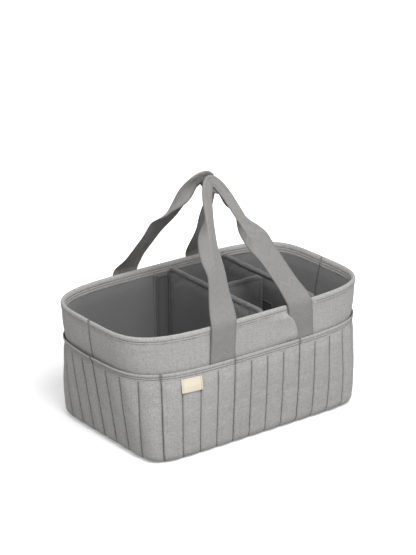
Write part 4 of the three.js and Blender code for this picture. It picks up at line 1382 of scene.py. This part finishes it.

# %% [markdown]
# The plan of each strap holds what is read off it. `grip` is the middle of the top.
# The shifts move the left and the right leg aside, at the rim and where the arch starts.
# `folds` gives each fold line's distance from the middle and its radius. `timing` says, for
# each leg and fold, where it starts, stands as a gutter and ends, from 0 at the hem to 1 at
# the top, so a fold timed beyond 1 never comes. `turns` gives each leg's turn in degrees,
# the height where it is full and the height where it fades. `rolls` turns the two ends of
# the grip, and `centring` moves the folded grip back to the middle. The rows of stitches
# run along the grip on both faces, `stitch_rows` aside of its middle and `stitch_depth` out
# of it. Both straps are drawn at the front, and `spin` turns the rear one half round.

# %% Straps
NEVER = (2.0, 3.0, 4.0)
STRAPS = {
    "front": dict(
        spin=np.ones(3), grip=(0.0, -1.5, 368.0), rim_shifts=(0.0, -9.0), arch_shifts=(-4.0, 2.0),
        folds=((2.2, 2.0), (10.4, 1.0)),
        timing=(((0.40, 0.64, 0.87), (0.42, 0.80, 0.90)), ((0.56, 0.76, 0.90), (0.44, 0.66, 0.84))),
        turns=((-22.0, 252.0, 312.0), (10.0, 228.0, 262.0)), rolls=(-10.0, -10.0),
        centring=(1.0, 2.0), stitch_rows=(-1.5, 7.5), stitch_depth=2.9,
    ),
    "rear": dict(
        spin=np.array([-1.0, -1.0, 1.0]), grip=(10.0, -11.5, 369.0), rim_shifts=(0.0, -12.0),
        arch_shifts=(-12.0, 4.0),
        folds=((0.5, 1.0), (21.0, 0.2)),
        timing=(((0.70, 0.82, 0.90), NEVER), ((0.58, 0.78, 0.94), NEVER)),
        turns=((-30.0, 280.0, 322.0), (12.0, 228.0, 262.0)), rolls=(-10.0, -16.0),
        centring=(8.0, 1.0), stitch_rows=(-4.0, 10.5), stitch_depth=1.9,
    ),
}
for side, plan in STRAPS.items():
    spin, depth = plan["spin"], plan["stitch_depth"]
    path = handle_path(plan["grip"], plan["rim_shifts"], plan["arch_shifts"])
    rings, uvs, seams, grip = strap_rings(path, plan)
    rings, uvs, seams = anchored(rings, uvs, seams)
    strap = tube(side + "_strap", rings * spin, uvs, seams)
    ends = [side + "_left_webbing_end", side + "_right_webbing_end"]
    settle(strap, strap_weave, None, "webbing", side + "_handle", *ends)
    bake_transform(strap)
    print(side, "loop above the fold line: %.0f mm" % path[3])
    for row in plan["stitch_rows"]:
        above = np.array([c + a * row + f * depth for c, a, f in grip])
        below = np.array([c + a * row - f * depth for c, a, f in grip])
        outs = np.array([f for _, _, f in grip])
        sew("grip_" + side, above * spin, outs * spin)
        sew("grip_" + side, below * spin, -outs * spin)

# %% [markdown]
# ## Label
# A small blank label of cotton tape is sewn over the second channel of the front left bay,
# just under the hem. It follows the swollen channel below it, so its place is read off the
# finished pocket, and its lower corners lift a little.

# %% Label
LABEL_WIDTH, LABEL_HIGH, LABEL_LOW, LABEL_LIFT = 34.0, 128.0, 106.4, 0.5
SPANS, FOLLOWS, LABEL_GAP, LABEL_FRONT, LABEL_BACK = 0.7, 0.3, 0.3, 0.5, -0.1
shares, face = pocket_faces["front_left_pocket"]
label_middle = CORNER_BAY + 1.5 * SIDE_BAY / CHANNELS
u = np.linspace(-0.5, 0.5, 25)
v = np.linspace(LABEL_LOW, LABEL_HIGH, 17)
base, outs = wall(shares[:, None], 0.0, POCKET_ROWS[None, :])
rise = ((face - base) * outs).sum(axis=-1)
s, z = grid_of(label_middle + u * LABEL_WIDTH / ROUND, v)
columns = np.array([[np.interp(zz, POCKET_ROWS, rise[k]) for zz in v] for k in range(len(shares))])
under = np.array([np.interp(s[:, 0], shares, columns[:, j]) for j in range(len(v))]).T
flat = under.max(axis=0)[None, :] * np.ones_like(under)
lie = SPANS * flat + FOLLOWS * under + LABEL_GAP
lift = LABEL_LIFT * (np.abs(u)[:, None] * 2) ** 3 * (1 - smooth(z, LABEL_LOW, LABEL_LOW + 9.0))
front, _ = wall(s, lie + lift + LABEL_FRONT, z)
back, _ = wall(s, lie + lift + LABEL_BACK, z)
uv = stacked(u[:, None] * LABEL_WIDTH * np.ones_like(z), z)
# Painted shadow: the seam tone darkens the label all round its edge.
border = np.minimum((0.5 - np.abs(u))[:, None] * LABEL_WIDTH, np.minimum(z - LABEL_LOW, LABEL_HIGH - z))
label = shell("blank_label", front, back, uv, 0.6 * np.exp(-border / 0.7))
settle(label, label_cotton, "basket", "label", "side_label")
_, label_outs = wall(s, 0.0, z)
for k in (2, -3):
    sew("label", front[k, 1:-1], label_outs[k, 1:-1])

# %% [markdown]
# ## Sewing it up
# All lines of stitches are known now. Each set becomes one mesh, so that it can ride on
# the body whose cloth it holds. Topstitching is longer and bolder than the thread in the
# quilting grooves. Each row of the list names a set of lines, its body, and the stitches'
# pitch, length and thickness.

# %% Stitch pieces
SEWING = [
    ("channels_front", "basket", 3.0, 2.5, 0.5), ("channels_rear", "basket", 3.0, 2.5, 0.5),
    ("hem_front", "basket", 3.2, 2.7, 0.6), ("hem_rear", "basket", 3.2, 2.7, 0.6),
    ("rim_front", "basket", 3.2, 2.7, 0.6), ("rim_rear", "basket", 3.2, 2.7, 0.6),
    ("floor_lining_cloth", "basket", 3.4, 2.8, 0.5), ("underside_canvas", "basket", 3.4, 2.8, 0.5),
    ("label", "basket", 2.2, 1.7, 0.35),
    ("grip_front", "front_handle", 3.4, 2.8, 0.6), ("grip_rear", "rear_handle", 3.4, 2.8, 0.6),
    ("centre_divider", "centre_divider", 3.4, 2.8, 0.5), ("end_divider", "end_divider", 3.4, 2.8, 0.5),
    ("lengthwise_divider", "lengthwise_divider", 3.4, 2.8, 0.5),
]
TAPE_SEWING = (3.0, 2.4, 0.45)
for row_set in SEAM_LINES:
    if row_set.endswith(("_hook_tab", "_face_loop_pile")):
        SEWING.append((row_set, row_set.split("_")[0] + "_divider", *TAPE_SEWING))
    elif row_set.endswith("_loop_pile"):
        SEWING.append((row_set, "basket", *TAPE_SEWING))
for seed, (row_set, body, pitch, length, thickness) in enumerate(SEWING):
    piece = sewn_piece(row_set + "_stitches", row_set, pitch, length, thickness, seed)
    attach(piece, body)
    print("%-40s %6d faces" % (piece.name, len(piece.data.polygons)))

# %% [markdown]
# ## What stays inside
# The stiff board under the floor never shows, but anyone who opens the caddy finds it. It
# is a flat plate, which the CAD solid already is, so that solid stays and gets a finish.

# %% Base board
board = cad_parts["base_board"]
board.data.materials.clear()
board.data.materials.append(base_board)
print("still CAD solids:", [name for name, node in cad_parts.items() if not node.hide_render])

# %% [markdown]
# ## Floor and light
# The caddy stands on a white sweep. The floor takes the shadow, and for camera rays it
# glows, more so further away, so that it reads as paper white away from the caddy; the
# weaker glow near the caddy paints a soft shade round it. Light that bounces off it is
# kept low, or the cloth would lose its shading. One large soft lamp stands high in front,
# and the world adds an even sky.

# %% Floor
FLOOR_HALF, FLOOR_DROP = 6.0, 0.0005
WHITE = (1.0, 1.0, 1.0, 1.0)


def seen_directly(tree):
    """1 for rays from the camera, or from a mirror or glass, and 0 for light that bounces."""
    rays = add_node(tree, "ShaderNodeLightPath")
    mirrored = calc(tree, "MAXIMUM", rays.outputs["Is Glossy Ray"], rays.outputs["Is Transmission Ray"])
    return calc(tree, "MAXIMUM", rays.outputs["Is Camera Ray"], mirrored)


corners = [(x * FLOOR_HALF, y * FLOOR_HALF, -FLOOR_DROP) for x, y in [(-1, -1), (1, -1), (1, 1), (-1, 1)]]
floor_mesh = bpy.data.meshes.new("white_floor")
floor_mesh.from_pydata(corners, [], [(0, 1, 2, 3)])
white_floor = bpy.data.objects.new("white_floor", floor_mesh)
scene.collection.objects.link(white_floor)
paper, tree, shader = new_material("white_paper")
seen = seen_directly(tree)
place = add_node(tree, "ShaderNodeTexCoord").outputs["Object"]
away = add_node(tree, "ShaderNodeVectorMath", {0: place}, operation="LENGTH").outputs["Value"]
# Painted shade: the glow falls off towards the caddy.
far = add_node(tree, "ShaderNodeMapRange",
               {"Value": away, "From Min": 0.3, "From Max": 1.0, "To Min": 0.3, "To Max": 1.0})
fill_inputs(tree, shader, {
    "Base Color": blend_values(tree, seen, 0.5, 0.9), "Roughness": 1.0, "Specular IOR Level": 0.0,
    "Emission Color": WHITE, "Emission Strength": calc(tree, "MULTIPLY", seen, far.outputs[0]),
})
floor_mesh.materials.append(paper)
print("white floor: %.0f m square" % (2 * FLOOR_HALF))

# %% Lamp and world
lamp_data = bpy.data.lights.new("key_lamp", "AREA")
lamp_data.shape, lamp_data.size, lamp_data.energy = "DISK", 1.1, 45.0
key_lamp = bpy.data.objects.new("key_lamp", lamp_data)
aim_from(key_lamp, turn=-20.0, rise=51.0, distance=2.2)
print("key lamp at", [round(v, 2) for v in key_lamp.location])
world = bpy.data.worlds.new("white_room")
world.use_nodes = True
scene.world = world
tree = world.node_tree
sky = next(n for n in tree.nodes if n.type == "BACKGROUND")
fill_inputs(tree, sky, {"Color": WHITE, "Strength": blend_values(tree, seen_directly(tree), 0.55, 1.0)})
scene.view_settings.view_transform = "Standard"
